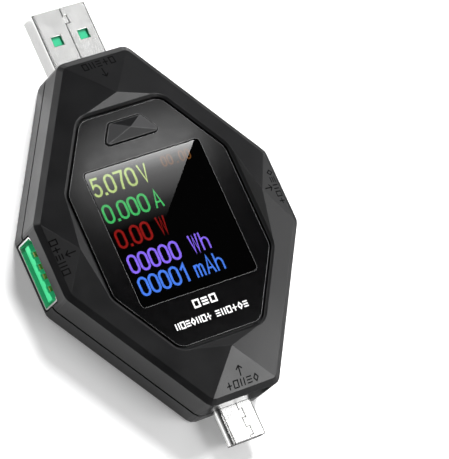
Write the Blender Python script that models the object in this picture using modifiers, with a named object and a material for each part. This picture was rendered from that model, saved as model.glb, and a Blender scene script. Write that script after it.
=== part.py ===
"""USB power meter: a handheld in-line tester in a faceted octagonal case.

Lengths are in metres and +Z is up. The meter lies on its rear cover with the screen facing up,
the USB-A plug points along +Y, the USB-C plug along -Y, the USB-A socket along -X and the USB-C
socket along +X. Z = 0 is the rear face, and X = Y = 0 is the middle of the whole footprint.
"""
import math

import bmesh
import bpy
from mathutils import Matrix, Vector

# ---------------------------------------------------------------- driving dimensions
GAP = 0.0003                # clearance between pieces that meet
FINE_GAP = 0.0002           # clearance inside the small connectors
OUTSIDE = 0.001             # cutters run this far past the piece they cut

BODY_HALF_WIDTH = 0.0260    # centre to the socket ends, X
BODY_HALF_LENGTH = 0.0353   # centre to the plug ends, Y
BODY_DIAGONAL = 0.02578     # centre to each diagonal wall
DIAGONAL_ANGLE = math.radians(33.4)     # direction of a diagonal wall's normal, from +X

PARTING_Z = 0.0041          # line between the rear and the front cover
PARTING_GAP = 0.0005        # open groove along that line
SHOULDER_Z = 0.0100         # top of the upright walls
RIM_INSET = 0.0011          # narrow sloping rim above the walls
RIM_RISE = 0.00085
FACET_SLOPE = 0.225         # rise of the diagonal facets towards the screen
APEX_Y = 0.0262             # high points of the case, on the length axis
APEX_X = 0.0203             # and on the width axis
WALL = 0.0013
FLOOR = 0.0012
LIP_INSET = 0.0016          # lip of the rear cover that locates the front cover
LIP_THICKNESS = 0.0007
LIP_Z = 0.0049
REAR_CHAMFER = 0.0004
BODY_CORNER = 0.0020        # rounding of the upright corner edges
BODY_CORNER_STEPS = 2       # even, so that a ridge starts at the middle of each rounded corner

PANEL_HALF_WIDTH = 0.0174   # glossy screen panel
PANEL_HALF_LENGTH = 0.0232
PANEL_DIAGONAL = 0.0202
PANEL_CORNER = 0.0028
PANEL_CORNER_STEPS = 6
PANEL_TOP = 0.01133
PANEL_THICKNESS = 0.0008
SEAT_Z = PANEL_TOP - PANEL_THICKNESS - GAP
CEILING_Z = 0.0094          # inside of the front cover's top
PANEL_GAP = 0.0005          # groove between the panel and the case
RING_OFFSET = 0.0010        # the sloping edge round the panel ends this far outside it

WINDOW_HALF_WIDTH = 0.01292
WINDOW_TOP = 0.01362
WINDOW_BOTTOM = -0.01401
WINDOW_DEPTH = 0.0001       # the window sits this far below the panel
WINDOW_CORNER = 0.0008

BUTTON_Y = 0.0192
BUTTON_TRAVEL = 0.0004
BUTTON_HALF_FAR = 0.0035    # half width of the cap's far edge
BUTTON_HALF_NEAR = 0.0061   # half width of the cap's near edge, before its corners are rounded
BUTTON_HALF_DEPTH = 0.00195
BUTTON_CORNER = 0.0006
BUTTON_CORNER_STEPS = 3
BUTTON_EDGE_Z = PANEL_TOP + 0.00025
BUTTON_PEAK_Z = PANEL_TOP + 0.00115
BUTTON_FLANGE = 0.0007
BUTTON_FLANGE_THICKNESS = 0.0005
BUTTON_FLANGE_TOP = CEILING_Z - GAP
BUTTON_FOOT_Z = BUTTON_FLANGE_TOP - BUTTON_FLANGE_THICKNESS

BOARD_BOTTOM = 0.0052
BOARD_TOP = 0.0062
SCREW_X = 0.0115
SCREW_Y = 0.0215
BOSS_RADIUS = 0.0026        # screw bosses of the front cover: a shoulder above the board
BOSS_LOW = 0.0065
BOSS_HIGH = 0.0098
BOSS_FOOT_RADIUS = 0.0017   # and a thinner foot through the board's hole
BOSS_FOOT_LOW = 0.0044
BOSS_FOOT_HIGH = 0.0068
BORE_RADIUS = 0.0011        # the screws' thread bores
BORE_HIGH = 0.0086
POST_RADIUS = 0.0029        # screw posts of the rear cover
COUNTERBORE_RADIUS = 0.0021
COUNTERBORE_DEPTH = 0.0019
CLEARANCE_RADIUS = 0.0012
BOARD_HOLE_RADIUS = 0.0021

PLUG_Z = 0.0035             # height of both plugs' centre lines
SOCKET_Z = 0.0039           # height of both sockets' centre lines

PLUG_A_WIDTH = 0.0120       # standard USB-A plug
PLUG_A_HEIGHT = 0.0045
PLUG_A_REACH = 0.0119       # length outside the case
PLUG_A_ROOT = 0.0068        # length inside the case
PLUG_A_SHEET = 0.0003
PLUG_C_WIDTH = 0.00825      # standard USB-C plug
PLUG_C_HEIGHT = 0.0024
PLUG_C_REACH = 0.0070
PLUG_C_ROOT = 0.0035
PLUG_C_SHEET = 0.00022
SOCKET_A_WIDTH = 0.0131     # standard USB-A receptacle
SOCKET_A_HEIGHT = 0.0057
SOCKET_A_DEPTH = 0.0138
SOCKET_A_SHEET = 0.0003
SOCKET_C_WIDTH = 0.00894    # standard USB-C receptacle
SOCKET_C_HEIGHT = 0.00316
SOCKET_C_DEPTH = 0.0073
SOCKET_C_SHEET = 0.00025
CONTACT_PITCHES = (-0.0035, -0.0010, 0.0010, 0.0035)    # the four USB-A contacts

LCD_HALF_WIDTH = 0.0146
LCD_TOP = 0.0156
LCD_BOTTOM = -0.0183
LCD_FRAME_LOW = 0.0072
LCD_FRAME_HIGH = 0.0091
LCD_FRAME_WALL = 0.0005
LCD_FRAME_SHEET = 0.0003
LCD_BACKLIGHT_TOP = 0.0082
POLARIZER_DROP = 0.0001     # the top polarizer hangs this far into the hole of the front cover
FOAM_HALF_WIDTH = 0.0105
FOAM_TOP = 0.0120
FOAM_BOTTOM = -0.0110
FOAM_GAP = 0.00025

CENTRE_Y = -(PLUG_A_REACH - PLUG_C_REACH) / 2    # centres the whole footprint on the origin


# ---------------------------------------------------------------- scene and materials
for old in list(bpy.data.objects):
    bpy.data.objects.remove(old, do_unlink=True)

scene_root = bpy.context.scene.collection
parts = bpy.data.collections.new("usb_power_meter")
cutters = bpy.data.collections.new("cutters")
scene_root.children.link(parts)
scene_root.children.link(cutters)


def make_material(name, color, roughness, metallic=0.0, transmission=0.0):
    material = bpy.data.materials.new(name)
    material.use_nodes = True
    shader = material.node_tree.nodes["Principled BSDF"]
    shader.inputs["Base Color"].default_value = (*color, 1.0)
    shader.inputs["Roughness"].default_value = roughness
    shader.inputs["Metallic"].default_value = metallic
    shader.inputs["Transmission Weight"].default_value = transmission
    material.diffuse_color = (*color, 1.0)
    return material


BLACK_CASE = make_material("black_case", (0.018, 0.018, 0.020), 0.42)
BLACK_GLOSS = make_material("black_gloss", (0.006, 0.006, 0.008), 0.06)
CLEAR_WINDOW = make_material("clear_window", (0.85, 0.88, 0.90), 0.03, transmission=0.9)
BRIGHT_METAL = make_material("bright_metal", (0.80, 0.80, 0.78), 0.16, metallic=1.0)
GREEN_PLASTIC = make_material("green_plastic", (0.03, 0.50, 0.16), 0.35)
BLACK_PLASTIC = make_material("black_plastic", (0.02, 0.02, 0.02), 0.50)
GOLD = make_material("gold", (0.90, 0.66, 0.26), 0.22, metallic=1.0)
BOARD_GREEN = make_material("board_green", (0.02, 0.16, 0.07), 0.40)
STEEL = make_material("steel", (0.55, 0.55, 0.56), 0.30, metallic=1.0)
WHITE_PLASTIC = make_material("white_plastic", (0.80, 0.80, 0.78), 0.45)
DARK_GLASS = make_material("dark_glass", (0.02, 0.02, 0.03), 0.10)
FLEX_AMBER = make_material("flex_amber", (0.50, 0.22, 0.03), 0.35)
FOAM_GREY = make_material("foam_grey", (0.12, 0.12, 0.12), 0.90)
CERAMIC_TAN = make_material("ceramic_tan", (0.45, 0.32, 0.20), 0.45)
TANTALUM_YELLOW = make_material("tantalum_yellow", (0.75, 0.50, 0.06), 0.45)


# ---------------------------------------------------------------- outlines
def octagon(half_width, half_length, diagonal):
    """Corners, counter-clockwise, of an octagon with its diagonal edges at the case's angle."""
    across = math.cos(DIAGONAL_ANGLE)
    along = math.sin(DIAGONAL_ANGLE)
    side_y = (diagonal - across * half_width) / along
    end_x = (diagonal - along * half_length) / across
    return [
        (half_width, -side_y), (half_width, side_y), (end_x, half_length), (-end_x, half_length),
        (-half_width, side_y), (-half_width, -side_y), (-end_x, -half_length), (end_x, -half_length),
    ]


def rectangle(low_x, low_y, high_x, high_y):
    return [(low_x, low_y), (high_x, low_y), (high_x, high_y), (low_x, high_y)]


def grow(outline, distance):
    """Move each edge of a convex counter-clockwise outline outwards by distance."""
    count = len(outline)
    result = []
    for index in range(count):
        before = Vector(outline[index - 1])
        here = Vector(outline[index])
        after = Vector(outline[(index + 1) % count])
        edge_in = (here - before).normalized()
        edge_out = (after - here).normalized()
        normal_in = Vector((edge_in.y, -edge_in.x))
        normal_out = Vector((edge_out.y, -edge_out.x))
        shift = (normal_in + normal_out) * distance / (1.0 + normal_in.dot(normal_out))
        result.append(tuple(here + shift))
    return result


def round_corners(outline, radius, steps=4):
    """Replace each corner of a convex counter-clockwise outline with an arc."""
    count = len(outline)
    result = []
    for index in range(count):
        here = Vector(outline[index])
        edge_in = (here - Vector(outline[index - 1])).normalized()
        edge_out = (Vector(outline[(index + 1) % count]) - here).normalized()
        turn = math.acos(max(-1.0, min(1.0, edge_in.dot(edge_out))))
        start = here - edge_in * radius * math.tan(turn / 2)
        centre = start + Vector((-edge_in.y, edge_in.x)) * radius
        first = math.atan2(start.y - centre.y, start.x - centre.x)
        for step in range(steps + 1):
            angle = first + turn * step / steps
            result.append((centre.x + radius * math.cos(angle), centre.y + radius * math.sin(angle)))
    return result


def rounded_rectangle(width, height, radius, steps=4):
    corners = rectangle(-width / 2, -height / 2, width / 2, height / 2)
    return round_corners(corners, radius, steps)


def stadium(width, height):
    """A slot outline: straight top and bottom, and nearly half-round ends."""
    return rounded_rectangle(width, height, height * 0.499, steps=8)


def ribbon(path, width):
    """Closed outline of a line of the given width along a path, with mitred corners."""
    left = []
    right = []
    for index, point in enumerate(path):
        here = Vector(point)
        before = Vector(path[max(index - 1, 0)])
        after = Vector(path[min(index + 1, len(path) - 1)])
        edge_in = (here - before).normalized() if index > 0 else (after - here).normalized()
        edge_out = (after - here).normalized() if index < len(path) - 1 else edge_in
        normal_in = Vector((-edge_in.y, edge_in.x))
        normal_out = Vector((-edge_out.y, edge_out.x))
        shift = (normal_in + normal_out) * (width / 2) / (1.0 + normal_in.dot(normal_out))
        left.append(tuple(here + shift))
        right.append(tuple(here - shift))
    return right + left[::-1]


BODY_OUTLINE = octagon(BODY_HALF_WIDTH, BODY_HALF_LENGTH, BODY_DIAGONAL)
PANEL_OUTLINE = octagon(PANEL_HALF_WIDTH, PANEL_HALF_LENGTH, PANEL_DIAGONAL)
WINDOW_OUTLINE = rectangle(-WINDOW_HALF_WIDTH, WINDOW_BOTTOM, WINDOW_HALF_WIDTH, WINDOW_TOP)
BUTTON_OUTLINE = [
    (-BUTTON_HALF_NEAR, -BUTTON_HALF_DEPTH), (BUTTON_HALF_NEAR, -BUTTON_HALF_DEPTH),
    (BUTTON_HALF_FAR, BUTTON_HALF_DEPTH), (-BUTTON_HALF_FAR, BUTTON_HALF_DEPTH),
]


def case_outline(inset):
    """The case's rounded octagon, moved inwards by inset."""
    return round_corners(grow(BODY_OUTLINE, -inset), BODY_CORNER - inset * 0.5, BODY_CORNER_STEPS)


def panel_outline(offset):
    """The screen panel's rounded octagon, moved outwards by offset."""
    return round_corners(grow(PANEL_OUTLINE, offset), PANEL_CORNER + offset, PANEL_CORNER_STEPS)


# ---------------------------------------------------------------- mesh makers
def finish_mesh(name, bm):
    bmesh.ops.recalc_face_normals(bm, faces=bm.faces)
    mesh = bpy.data.meshes.new(name)
    bm.to_mesh(mesh)
    bm.free()
    return mesh


def box_mesh(name, low, high):
    bm = bmesh.new()
    bmesh.ops.create_cube(bm, size=1.0)
    low = Vector(low)
    size = Vector(high) - low
    bmesh.ops.transform(
        bm, verts=bm.verts, matrix=Matrix.Translation(low + size / 2) @ Matrix.Diagonal((*size, 1.0)))
    return finish_mesh(name, bm)


def rod_mesh(name, radius, low, high, centre=(0.0, 0.0), segments=32):
    bm = bmesh.new()
    bmesh.ops.create_cone(
        bm, cap_ends=True, segments=segments, radius1=radius, radius2=radius, depth=high - low)
    bmesh.ops.translate(bm, verts=bm.verts, vec=(centre[0], centre[1], (low + high) / 2))
    return finish_mesh(name, bm)


def hull_mesh(name, points):
    """Smallest convex solid round the points, with its flat faces kept whole."""
    bm = bmesh.new()
    for point in points:
        bm.verts.new(point)
    made = bmesh.ops.convex_hull(bm, input=bm.verts)
    loose = [item for item in made["geom_interior"] if isinstance(item, bmesh.types.BMVert)]
    bmesh.ops.delete(bm, geom=loose, context="VERTS")
    bmesh.ops.dissolve_limit(bm, angle_limit=math.radians(0.2), verts=bm.verts, edges=bm.edges)
    return finish_mesh(name, bm)


def at_height(outline, z):
    return [(x, y, z) for x, y in outline]


def prism_mesh(name, outlines, low, high, along_y=False):
    """Extrude flat outlines (an outer one, then any holes) from low to high.

    The extrusion runs along Z, or with along_y along Y with the outline's second axis upright.
    """
    curve = bpy.data.curves.new(name, "CURVE")
    curve.dimensions = "2D"
    curve.fill_mode = "BOTH"
    curve.extrude = (high - low) / 2
    for outline in outlines:
        spline = curve.splines.new("POLY")
        spline.points.add(len(outline) - 1)
        for point, (x, y) in zip(spline.points, outline):
            point.co = (x, y, 0.0, 1.0)
        spline.use_cyclic_u = True
    guide = bpy.data.objects.new(name + "_outline", curve)
    cutters.objects.link(guide)
    graph = bpy.context.evaluated_depsgraph_get()
    mesh = bpy.data.meshes.new_from_object(guide.evaluated_get(graph))
    bpy.data.objects.remove(guide, do_unlink=True)
    bpy.data.curves.remove(curve)
    if along_y:
        mesh.transform(Matrix.Rotation(math.radians(90), 4, "X"))
        mesh.transform(Matrix.Translation((0.0, (low + high) / 2, 0.0)))
    else:
        mesh.transform(Matrix.Translation((0.0, 0.0, (low + high) / 2)))
    bm = bmesh.new()
    bm.from_mesh(mesh)
    bpy.data.meshes.remove(mesh)
    bmesh.ops.remove_doubles(bm, verts=bm.verts, dist=0.000001)
    return finish_mesh(name, bm)


def merged_mesh(name, meshes):
    """Several separate closed shapes in one mesh, for cutting or joining in one go."""
    bm = bmesh.new()
    for mesh in meshes:
        bm.from_mesh(mesh)
        bpy.data.meshes.remove(mesh)
    return finish_mesh(name, bm)


# ---------------------------------------------------------------- object makers
def add_empty(name, location, turn=0.0, parent=None):
    empty = bpy.data.objects.new(name, None)
    empty.empty_display_size = 0.003
    empty.location = location
    empty.rotation_euler = (0.0, 0.0, turn)
    empty.parent = parent
    scene_root.objects.link(empty)
    return empty


meter = add_empty("meter_frame", (0.0, CENTRE_Y, 0.0))


def add_part(name, mesh, material, parent=None, location=(0.0, 0.0, 0.0)):
    mesh.name = name
    if not mesh.materials:
        mesh.materials.append(material)
    part = bpy.data.objects.new(name, mesh)
    part.parent = parent or meter
    part.location = location
    parts.objects.link(part)
    return part


def add_cutter(mesh, parent=None):
    cutter = bpy.data.objects.new("cutter_" + mesh.name, mesh)
    cutter.parent = parent or meter
    cutter.hide_render = True
    cutter.display_type = "WIRE"
    cutters.objects.link(cutter)
    return cutter


def combine(part, cutter, operation="DIFFERENCE"):
    modifier = part.modifiers.new(cutter.name, "BOOLEAN")
    modifier.operation = operation
    modifier.object = cutter


def cut(part, *tools):
    for tool in tools:
        combine(part, tool)


def shade_round(part, angle):
    part.data.shade_smooth()
    part.data.set_sharp_from_angle(angle=math.radians(angle))


# ---------------------------------------------------------------- the four ports
plug_a_port = add_empty("usb_a_plug_port", (0.0, BODY_HALF_LENGTH, PLUG_Z), 0.0, meter)
socket_a_port = add_empty("usb_a_socket_port", (-BODY_HALF_WIDTH, 0.0, SOCKET_Z), math.pi / 2, meter)
plug_c_port = add_empty("usb_c_plug_port", (0.0, -BODY_HALF_LENGTH, PLUG_Z), math.pi, meter)
socket_c_port = add_empty("usb_c_socket_port", (BODY_HALF_WIDTH, 0.0, SOCKET_Z), -math.pi / 2, meter)

plug_a_opening = add_cutter(prism_mesh(
    "plug_a_opening",
    [rounded_rectangle(PLUG_A_WIDTH + 2 * GAP, PLUG_A_HEIGHT + 2 * GAP, 0.0008)],
    -PLUG_A_ROOT - GAP, OUTSIDE, along_y=True), plug_a_port)
socket_a_opening = add_cutter(prism_mesh(
    "socket_a_opening",
    [rounded_rectangle(SOCKET_A_WIDTH + 2 * GAP, SOCKET_A_HEIGHT + 2 * GAP, 0.0006)],
    -SOCKET_A_DEPTH - GAP, OUTSIDE, along_y=True), socket_a_port)
plug_c_opening = add_cutter(prism_mesh(
    "plug_c_opening", [stadium(PLUG_C_WIDTH + 2 * GAP, PLUG_C_HEIGHT + 2 * GAP)],
    -PLUG_C_ROOT - GAP, OUTSIDE, along_y=True), plug_c_port)
socket_c_opening = add_cutter(prism_mesh(
    "socket_c_opening", [stadium(SOCKET_C_WIDTH + 2 * GAP, SOCKET_C_HEIGHT + 2 * GAP)],
    -SOCKET_C_DEPTH - GAP, OUTSIDE, along_y=True), socket_c_port)
PORT_OPENINGS = (plug_a_opening, socket_a_opening, plug_c_opening, socket_c_opening)

SCREW_PLACES = [(x, y) for x in (-SCREW_X, SCREW_X) for y in (-SCREW_Y, SCREW_Y)]


def rods_at_screws(name, radius, low, high, segments=24):
    return merged_mesh(name, [
        rod_mesh(name, radius, low, high, place, segments) for place in SCREW_PLACES])


# ---------------------------------------------------------------- front cover
RIM_Z = SHOULDER_Z + RIM_RISE
PARTING_HALF_GAP = PARTING_GAP / 2


def facet_height(x, y):
    """Height over a point of the plane of the diagonal facet nearest to it."""
    reach = abs(x) * math.cos(DIAGONAL_ANGLE) + abs(y) * math.sin(DIAGONAL_ANGLE)
    return RIM_Z + FACET_SLOPE * (BODY_DIAGONAL - RIM_INSET - reach)


APEX_Y_HEIGHT = facet_height(0.0, APEX_Y)
APEX_X_HEIGHT = facet_height(APEX_X, 0.0)


def end_height(reach, half_size, apex_reach, apex_height):
    """Height of an end facet, which rises from the rim to its apex."""
    edge = half_size - RIM_INSET
    return RIM_Z + (apex_height - RIM_Z) * (edge - reach) / (edge - apex_reach)


def rim_height(x, y):
    """Height of the case's top at its rim: the lowest of the facets that meet there."""
    return min(
        facet_height(x, y),
        end_height(abs(x), BODY_HALF_WIDTH, APEX_X, APEX_X_HEIGHT),
        end_height(abs(y), BODY_HALF_LENGTH, APEX_Y, APEX_Y_HEIGHT))


def gem_mesh():
    """The faceted case top as one solid, with the stepped recess for the screen panel.

    Rings of corners are joined level by level. Between the rim and the edge of the recess stand
    four apexes: each end facet rises to one, and a ramp falls from it to the recess. Even corners
    start an end of the case and odd corners start a diagonal.
    """
    bm = bmesh.new()

    def ring(outline, height):
        """One vertex per outline point, grouped by the eight corners."""
        verts = [bm.verts.new((x, y, height(x, y) if callable(height) else height)) for x, y in outline]
        steps = len(verts) // 8
        return [verts[corner * steps:(corner + 1) * steps] for corner in range(8)]

    low = ring(case_outline(0.0), PARTING_Z + PARTING_HALF_GAP)
    shoulder = ring(case_outline(0.0), SHOULDER_Z)
    rim = ring(case_outline(RIM_INSET), rim_height)
    edge = ring(panel_outline(RING_OFFSET), facet_height)
    brink = ring(panel_outline(PANEL_GAP), PANEL_TOP)
    seat = ring(panel_outline(PANEL_GAP), SEAT_Z)
    apexes = [bm.verts.new(point) for point in (
        (APEX_X, 0.0, APEX_X_HEIGHT), (0.0, APEX_Y, APEX_Y_HEIGHT),
        (-APEX_X, 0.0, APEX_X_HEIGHT), (0.0, -APEX_Y, APEX_Y_HEIGHT))]

    for lower, upper in ((low, shoulder), (shoulder, rim), (edge, brink), (brink, seat)):
        below = [vert for corner in lower for vert in corner]
        above = [vert for corner in upper for vert in corner]
        for here in range(len(below)):
            after = (here + 1) % len(below)
            bm.faces.new((below[here], below[after], above[after], above[here]))

    middle = BODY_CORNER_STEPS // 2
    for corner in range(8):
        after = (corner + 1) % 8
        apex = apexes[corner // 2]
        outer = rim[corner][middle:] + rim[after][:middle + 1]
        if corner % 2 == 0:
            bm.faces.new(outer + [apex])
            bm.faces.new((apex, edge[after][0], edge[corner][-1]))
        else:
            next_apex = apexes[(corner // 2 + 1) % 4]
            inner = edge[after][::-1] + edge[corner][::-1]
            bm.faces.new(outer + [next_apex] + inner + [apex])
    bm.faces.new([vert for corner in low for vert in corner])
    bm.faces.new([vert for corner in seat for vert in corner])
    return finish_mesh("front_cover", bm)


front_cover = add_part("front_cover", gem_mesh(), BLACK_CASE)
cut(front_cover, add_cutter(prism_mesh(
    "front_cavity", [grow(BODY_OUTLINE, -WALL)], PARTING_Z - OUTSIDE, CEILING_Z)))
combine(front_cover, add_cutter(rods_at_screws("boss_shoulder", BOSS_RADIUS, BOSS_LOW, BOSS_HIGH)), "UNION")
combine(front_cover, add_cutter(rods_at_screws(
    "boss_foot", BOSS_FOOT_RADIUS, BOSS_FOOT_LOW, BOSS_FOOT_HIGH)), "UNION")
cut(front_cover, add_cutter(rods_at_screws(
    "boss_bore", BORE_RADIUS, BOSS_FOOT_LOW - OUTSIDE, BORE_HIGH, 16)))

window_hole = grow(WINDOW_OUTLINE, PANEL_GAP)
button_hole = [(x, y + BUTTON_Y) for x, y in grow(BUTTON_OUTLINE, GAP)]
cut(front_cover, add_cutter(prism_mesh(
    "cover_window", [window_hole], CEILING_Z - OUTSIDE, PANEL_TOP + OUTSIDE)))
cut(front_cover, add_cutter(prism_mesh(
    "cover_button", [round_corners(button_hole, BUTTON_CORNER + GAP, BUTTON_CORNER_STEPS)],
    CEILING_Z - OUTSIDE, PANEL_TOP + OUTSIDE)))
cut(front_cover, *PORT_OPENINGS)

# ---------------------------------------------------------------- rear cover
REAR_TOP = PARTING_Z - PARTING_HALF_GAP
rear_points = (
    at_height(case_outline(REAR_CHAMFER), 0.0)
    + at_height(case_outline(0.0), REAR_CHAMFER)
    + at_height(case_outline(0.0), REAR_TOP)
)
rear_cover = add_part("rear_cover", hull_mesh("rear_cover", rear_points), BLACK_CASE)
combine(rear_cover, add_cutter(prism_mesh(
    "rear_lip", [grow(BODY_OUTLINE, -LIP_INSET)], FLOOR, LIP_Z)), "UNION")
cut(rear_cover, add_cutter(prism_mesh(
    "rear_cavity", [grow(BODY_OUTLINE, -LIP_INSET - LIP_THICKNESS)], FLOOR, LIP_Z + OUTSIDE)))
combine(rear_cover, add_cutter(rods_at_screws("rear_post", POST_RADIUS, FLOOR / 2, PARTING_Z)), "UNION")
cut(rear_cover, add_cutter(rods_at_screws(
    "screw_counterbore", COUNTERBORE_RADIUS, -OUTSIDE, COUNTERBORE_DEPTH)))
cut(rear_cover, add_cutter(rods_at_screws(
    "screw_clearance", CLEARANCE_RADIUS, -OUTSIDE, PARTING_Z + OUTSIDE, 16)))
cut(rear_cover, *PORT_OPENINGS)

# ---------------------------------------------------------------- case screws
SCREW_HEAD_LOW = 0.0004
SCREW_HEAD_HIGH = 0.0016
SCREW_TIP = 0.0082
SCREW_POINT = 0.0009        # length of the tapered tip
SCREW_RADIUS = 0.0008
SCREW_HEAD_RADIUS = 0.0018
SCREW_STEPS = 20
CROSS_ARM = 0.0011          # the cross recess in the head
CROSS_HALF_WIDTH = 0.00022
CROSS_DEPTH = 0.0007


def screw_mesh():
    """A pan-head screw pointing up: the flat of the head faces down."""
    bm = bmesh.new()
    profile = [
        (0.0, SCREW_TIP), (0.0005, SCREW_TIP - 0.0002), (SCREW_RADIUS, SCREW_TIP - SCREW_POINT),
        (SCREW_RADIUS, SCREW_HEAD_HIGH), (SCREW_HEAD_RADIUS - 0.0001, SCREW_HEAD_HIGH),
        (SCREW_HEAD_RADIUS, SCREW_HEAD_HIGH - 0.0003), (SCREW_HEAD_RADIUS - 0.0002, SCREW_HEAD_LOW + 0.0003),
        (SCREW_HEAD_RADIUS - 0.0006, SCREW_HEAD_LOW), (0.0, SCREW_HEAD_LOW),
    ]
    corners = [bm.verts.new((radius, 0.0, z)) for radius, z in profile]
    for first, second in zip(corners, corners[1:]):
        bm.edges.new((first, second))
    mesh = bpy.data.meshes.new("case_screw")
    bm.to_mesh(mesh)
    bm.free()
    return mesh


screw_blank = screw_mesh()
CROSS_ARMS = ((CROSS_ARM, CROSS_HALF_WIDTH), (CROSS_HALF_WIDTH, CROSS_ARM))
for index, (x, y) in enumerate(SCREW_PLACES):
    place = add_empty(f"screw_place_{index + 1}", (x, y, 0.0), math.radians(20 + 25 * index), meter)
    screw = add_part(f"case_screw_{index + 1}", screw_blank, STEEL, place)
    turning = screw.modifiers.new("turned", "SCREW")
    turning.steps = SCREW_STEPS
    turning.render_steps = SCREW_STEPS
    turning.use_merge_vertices = True
    turning.merge_threshold = 0.00001
    for arm, (arm_x, arm_y) in enumerate(CROSS_ARMS):
        cut(screw, add_cutter(box_mesh(
            f"cross_{index}_{arm}", (-arm_x, -arm_y, -OUTSIDE),
            (arm_x, arm_y, SCREW_HEAD_LOW + CROSS_DEPTH)), place))

# ---------------------------------------------------------------- screen panel and window
screen_panel = add_part("screen_panel", prism_mesh(
    "screen_panel",
    [
        panel_outline(0.0),
        round_corners(WINDOW_OUTLINE, WINDOW_CORNER, 3),
        round_corners(button_hole, BUTTON_CORNER + GAP, BUTTON_CORNER_STEPS),
    ],
    PANEL_TOP - PANEL_THICKNESS, PANEL_TOP), BLACK_GLOSS)

display_window = add_part("display_window", prism_mesh(
    "display_window", [round_corners(grow(WINDOW_OUTLINE, -FINE_GAP), WINDOW_CORNER, 3)],
    PANEL_TOP - PANEL_THICKNESS, PANEL_TOP - WINDOW_DEPTH), CLEAR_WINDOW)

# ---------------------------------------------------------------- display module
lcd_outline = rectangle(-LCD_HALF_WIDTH, LCD_BOTTOM, LCD_HALF_WIDTH, LCD_TOP)
LCD_FRAME_FLOOR = LCD_FRAME_LOW + LCD_FRAME_SHEET
lcd_frame = add_part("lcd_frame", prism_mesh(
    "lcd_frame", [lcd_outline], LCD_FRAME_LOW, LCD_FRAME_HIGH), WHITE_PLASTIC)
cut(lcd_frame, add_cutter(prism_mesh(
    "lcd_frame_pocket", [grow(lcd_outline, -LCD_FRAME_WALL)], LCD_FRAME_FLOOR,
    LCD_FRAME_HIGH + OUTSIDE)))
FLEX_HALF_WIDTH = 0.0060
FLEX_NOTCH_LOW = 0.0083     # the cable leaves the display module above this height
cut(lcd_frame, add_cutter(box_mesh(
    "lcd_frame_notch", (-FLEX_HALF_WIDTH - GAP, LCD_BOTTOM - OUTSIDE, FLEX_NOTCH_LOW),
    (FLEX_HALF_WIDTH + GAP, LCD_BOTTOM + OUTSIDE, LCD_FRAME_HIGH + OUTSIDE))))

LCD_SHEET_OUTLINE = grow(lcd_outline, -LCD_FRAME_WALL - GAP)
add_part("lcd_backlight", prism_mesh(
    "lcd_backlight", [LCD_SHEET_OUTLINE], LCD_FRAME_FLOOR + FINE_GAP, LCD_BACKLIGHT_TOP), WHITE_PLASTIC)
add_part("lcd_glass", prism_mesh(
    "lcd_glass", [LCD_SHEET_OUTLINE], LCD_BACKLIGHT_TOP + FINE_GAP, LCD_FRAME_HIGH), DARK_GLASS)
add_part("lcd_top_polarizer", prism_mesh(
    "lcd_top_polarizer", [grow(window_hole, -GAP)], CEILING_Z - POLARIZER_DROP,
    SEAT_Z - POLARIZER_DROP), DARK_GLASS)
add_part("lcd_foam_pad", box_mesh(
    "lcd_foam_pad", (-FOAM_HALF_WIDTH, FOAM_BOTTOM, BOARD_TOP + FOAM_GAP),
    (FOAM_HALF_WIDTH, FOAM_TOP, LCD_FRAME_LOW - FOAM_GAP)), FOAM_GREY)

FLEX_THICKNESS = 0.00015
FLEX_UPPER_Z = 0.00865
FLEX_LOWER_Z = BOARD_TOP + 0.00045
FLEX_START_Y = LCD_BOTTOM + 0.0006
FLEX_BEND_Y = LCD_BOTTOM - 0.0016
FLEX_FALL_LENGTH = 0.0034   # length over which it drops to the board
FLEX_TAIL = 0.0006
FLEX_STEPS = 10


def flex_path():
    """Side view (y, z) of the display's flexible cable, from the glass down to the board."""
    points = [(FLEX_START_Y, FLEX_UPPER_Z), (FLEX_BEND_Y, FLEX_UPPER_Z)]
    for step in range(1, FLEX_STEPS):
        share = step / FLEX_STEPS
        ease = share * share * (3 - 2 * share)
        z = FLEX_UPPER_Z - (FLEX_UPPER_Z - FLEX_LOWER_Z) * ease
        points.append((FLEX_BEND_Y - share * FLEX_FALL_LENGTH, z))
    points.append((FLEX_BEND_Y - FLEX_FALL_LENGTH, FLEX_LOWER_Z))
    points.append((FLEX_BEND_Y - FLEX_FALL_LENGTH - FLEX_TAIL, FLEX_LOWER_Z))
    return points


def flex_mesh():
    """The cable's strip, drawn as a row of edges and swept across its width."""
    bm = bmesh.new()
    corners = [bm.verts.new((-FLEX_HALF_WIDTH, y, z)) for y, z in flex_path()]
    edges = [bm.edges.new(pair) for pair in zip(corners, corners[1:])]
    swept = bmesh.ops.extrude_edge_only(bm, edges=edges)
    far = [item for item in swept["geom"] if isinstance(item, bmesh.types.BMVert)]
    bmesh.ops.translate(bm, verts=far, vec=(2 * FLEX_HALF_WIDTH, 0.0, 0.0))
    return finish_mesh("lcd_flex_cable", bm)


flex_cable = add_part("lcd_flex_cable", flex_mesh(), FLEX_AMBER)
flex_skin = flex_cable.modifiers.new("thickness", "SOLIDIFY")
flex_skin.thickness = FLEX_THICKNESS
flex_skin.offset = 0.0

FLEX_END_Y = FLEX_BEND_Y - FLEX_FALL_LENGTH - FLEX_TAIL
CONNECTOR_HALF_WIDTH = 0.0072
lcd_connector = add_part("lcd_connector", box_mesh(
    "lcd_connector", (-CONNECTOR_HALF_WIDTH, FLEX_END_Y - 0.0036, BOARD_TOP + FINE_GAP),
    (CONNECTOR_HALF_WIDTH, FLEX_END_Y + 0.0004, BOARD_TOP + 0.0013)), BLACK_PLASTIC)
cut(lcd_connector, add_cutter(box_mesh(
    "lcd_connector_slot", (-FLEX_HALF_WIDTH - FINE_GAP, FLEX_END_Y - FINE_GAP, BOARD_TOP + 0.00030),
    (FLEX_HALF_WIDTH + FINE_GAP, FLEX_END_Y + OUTSIDE, BOARD_TOP + 0.00075))))

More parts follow.
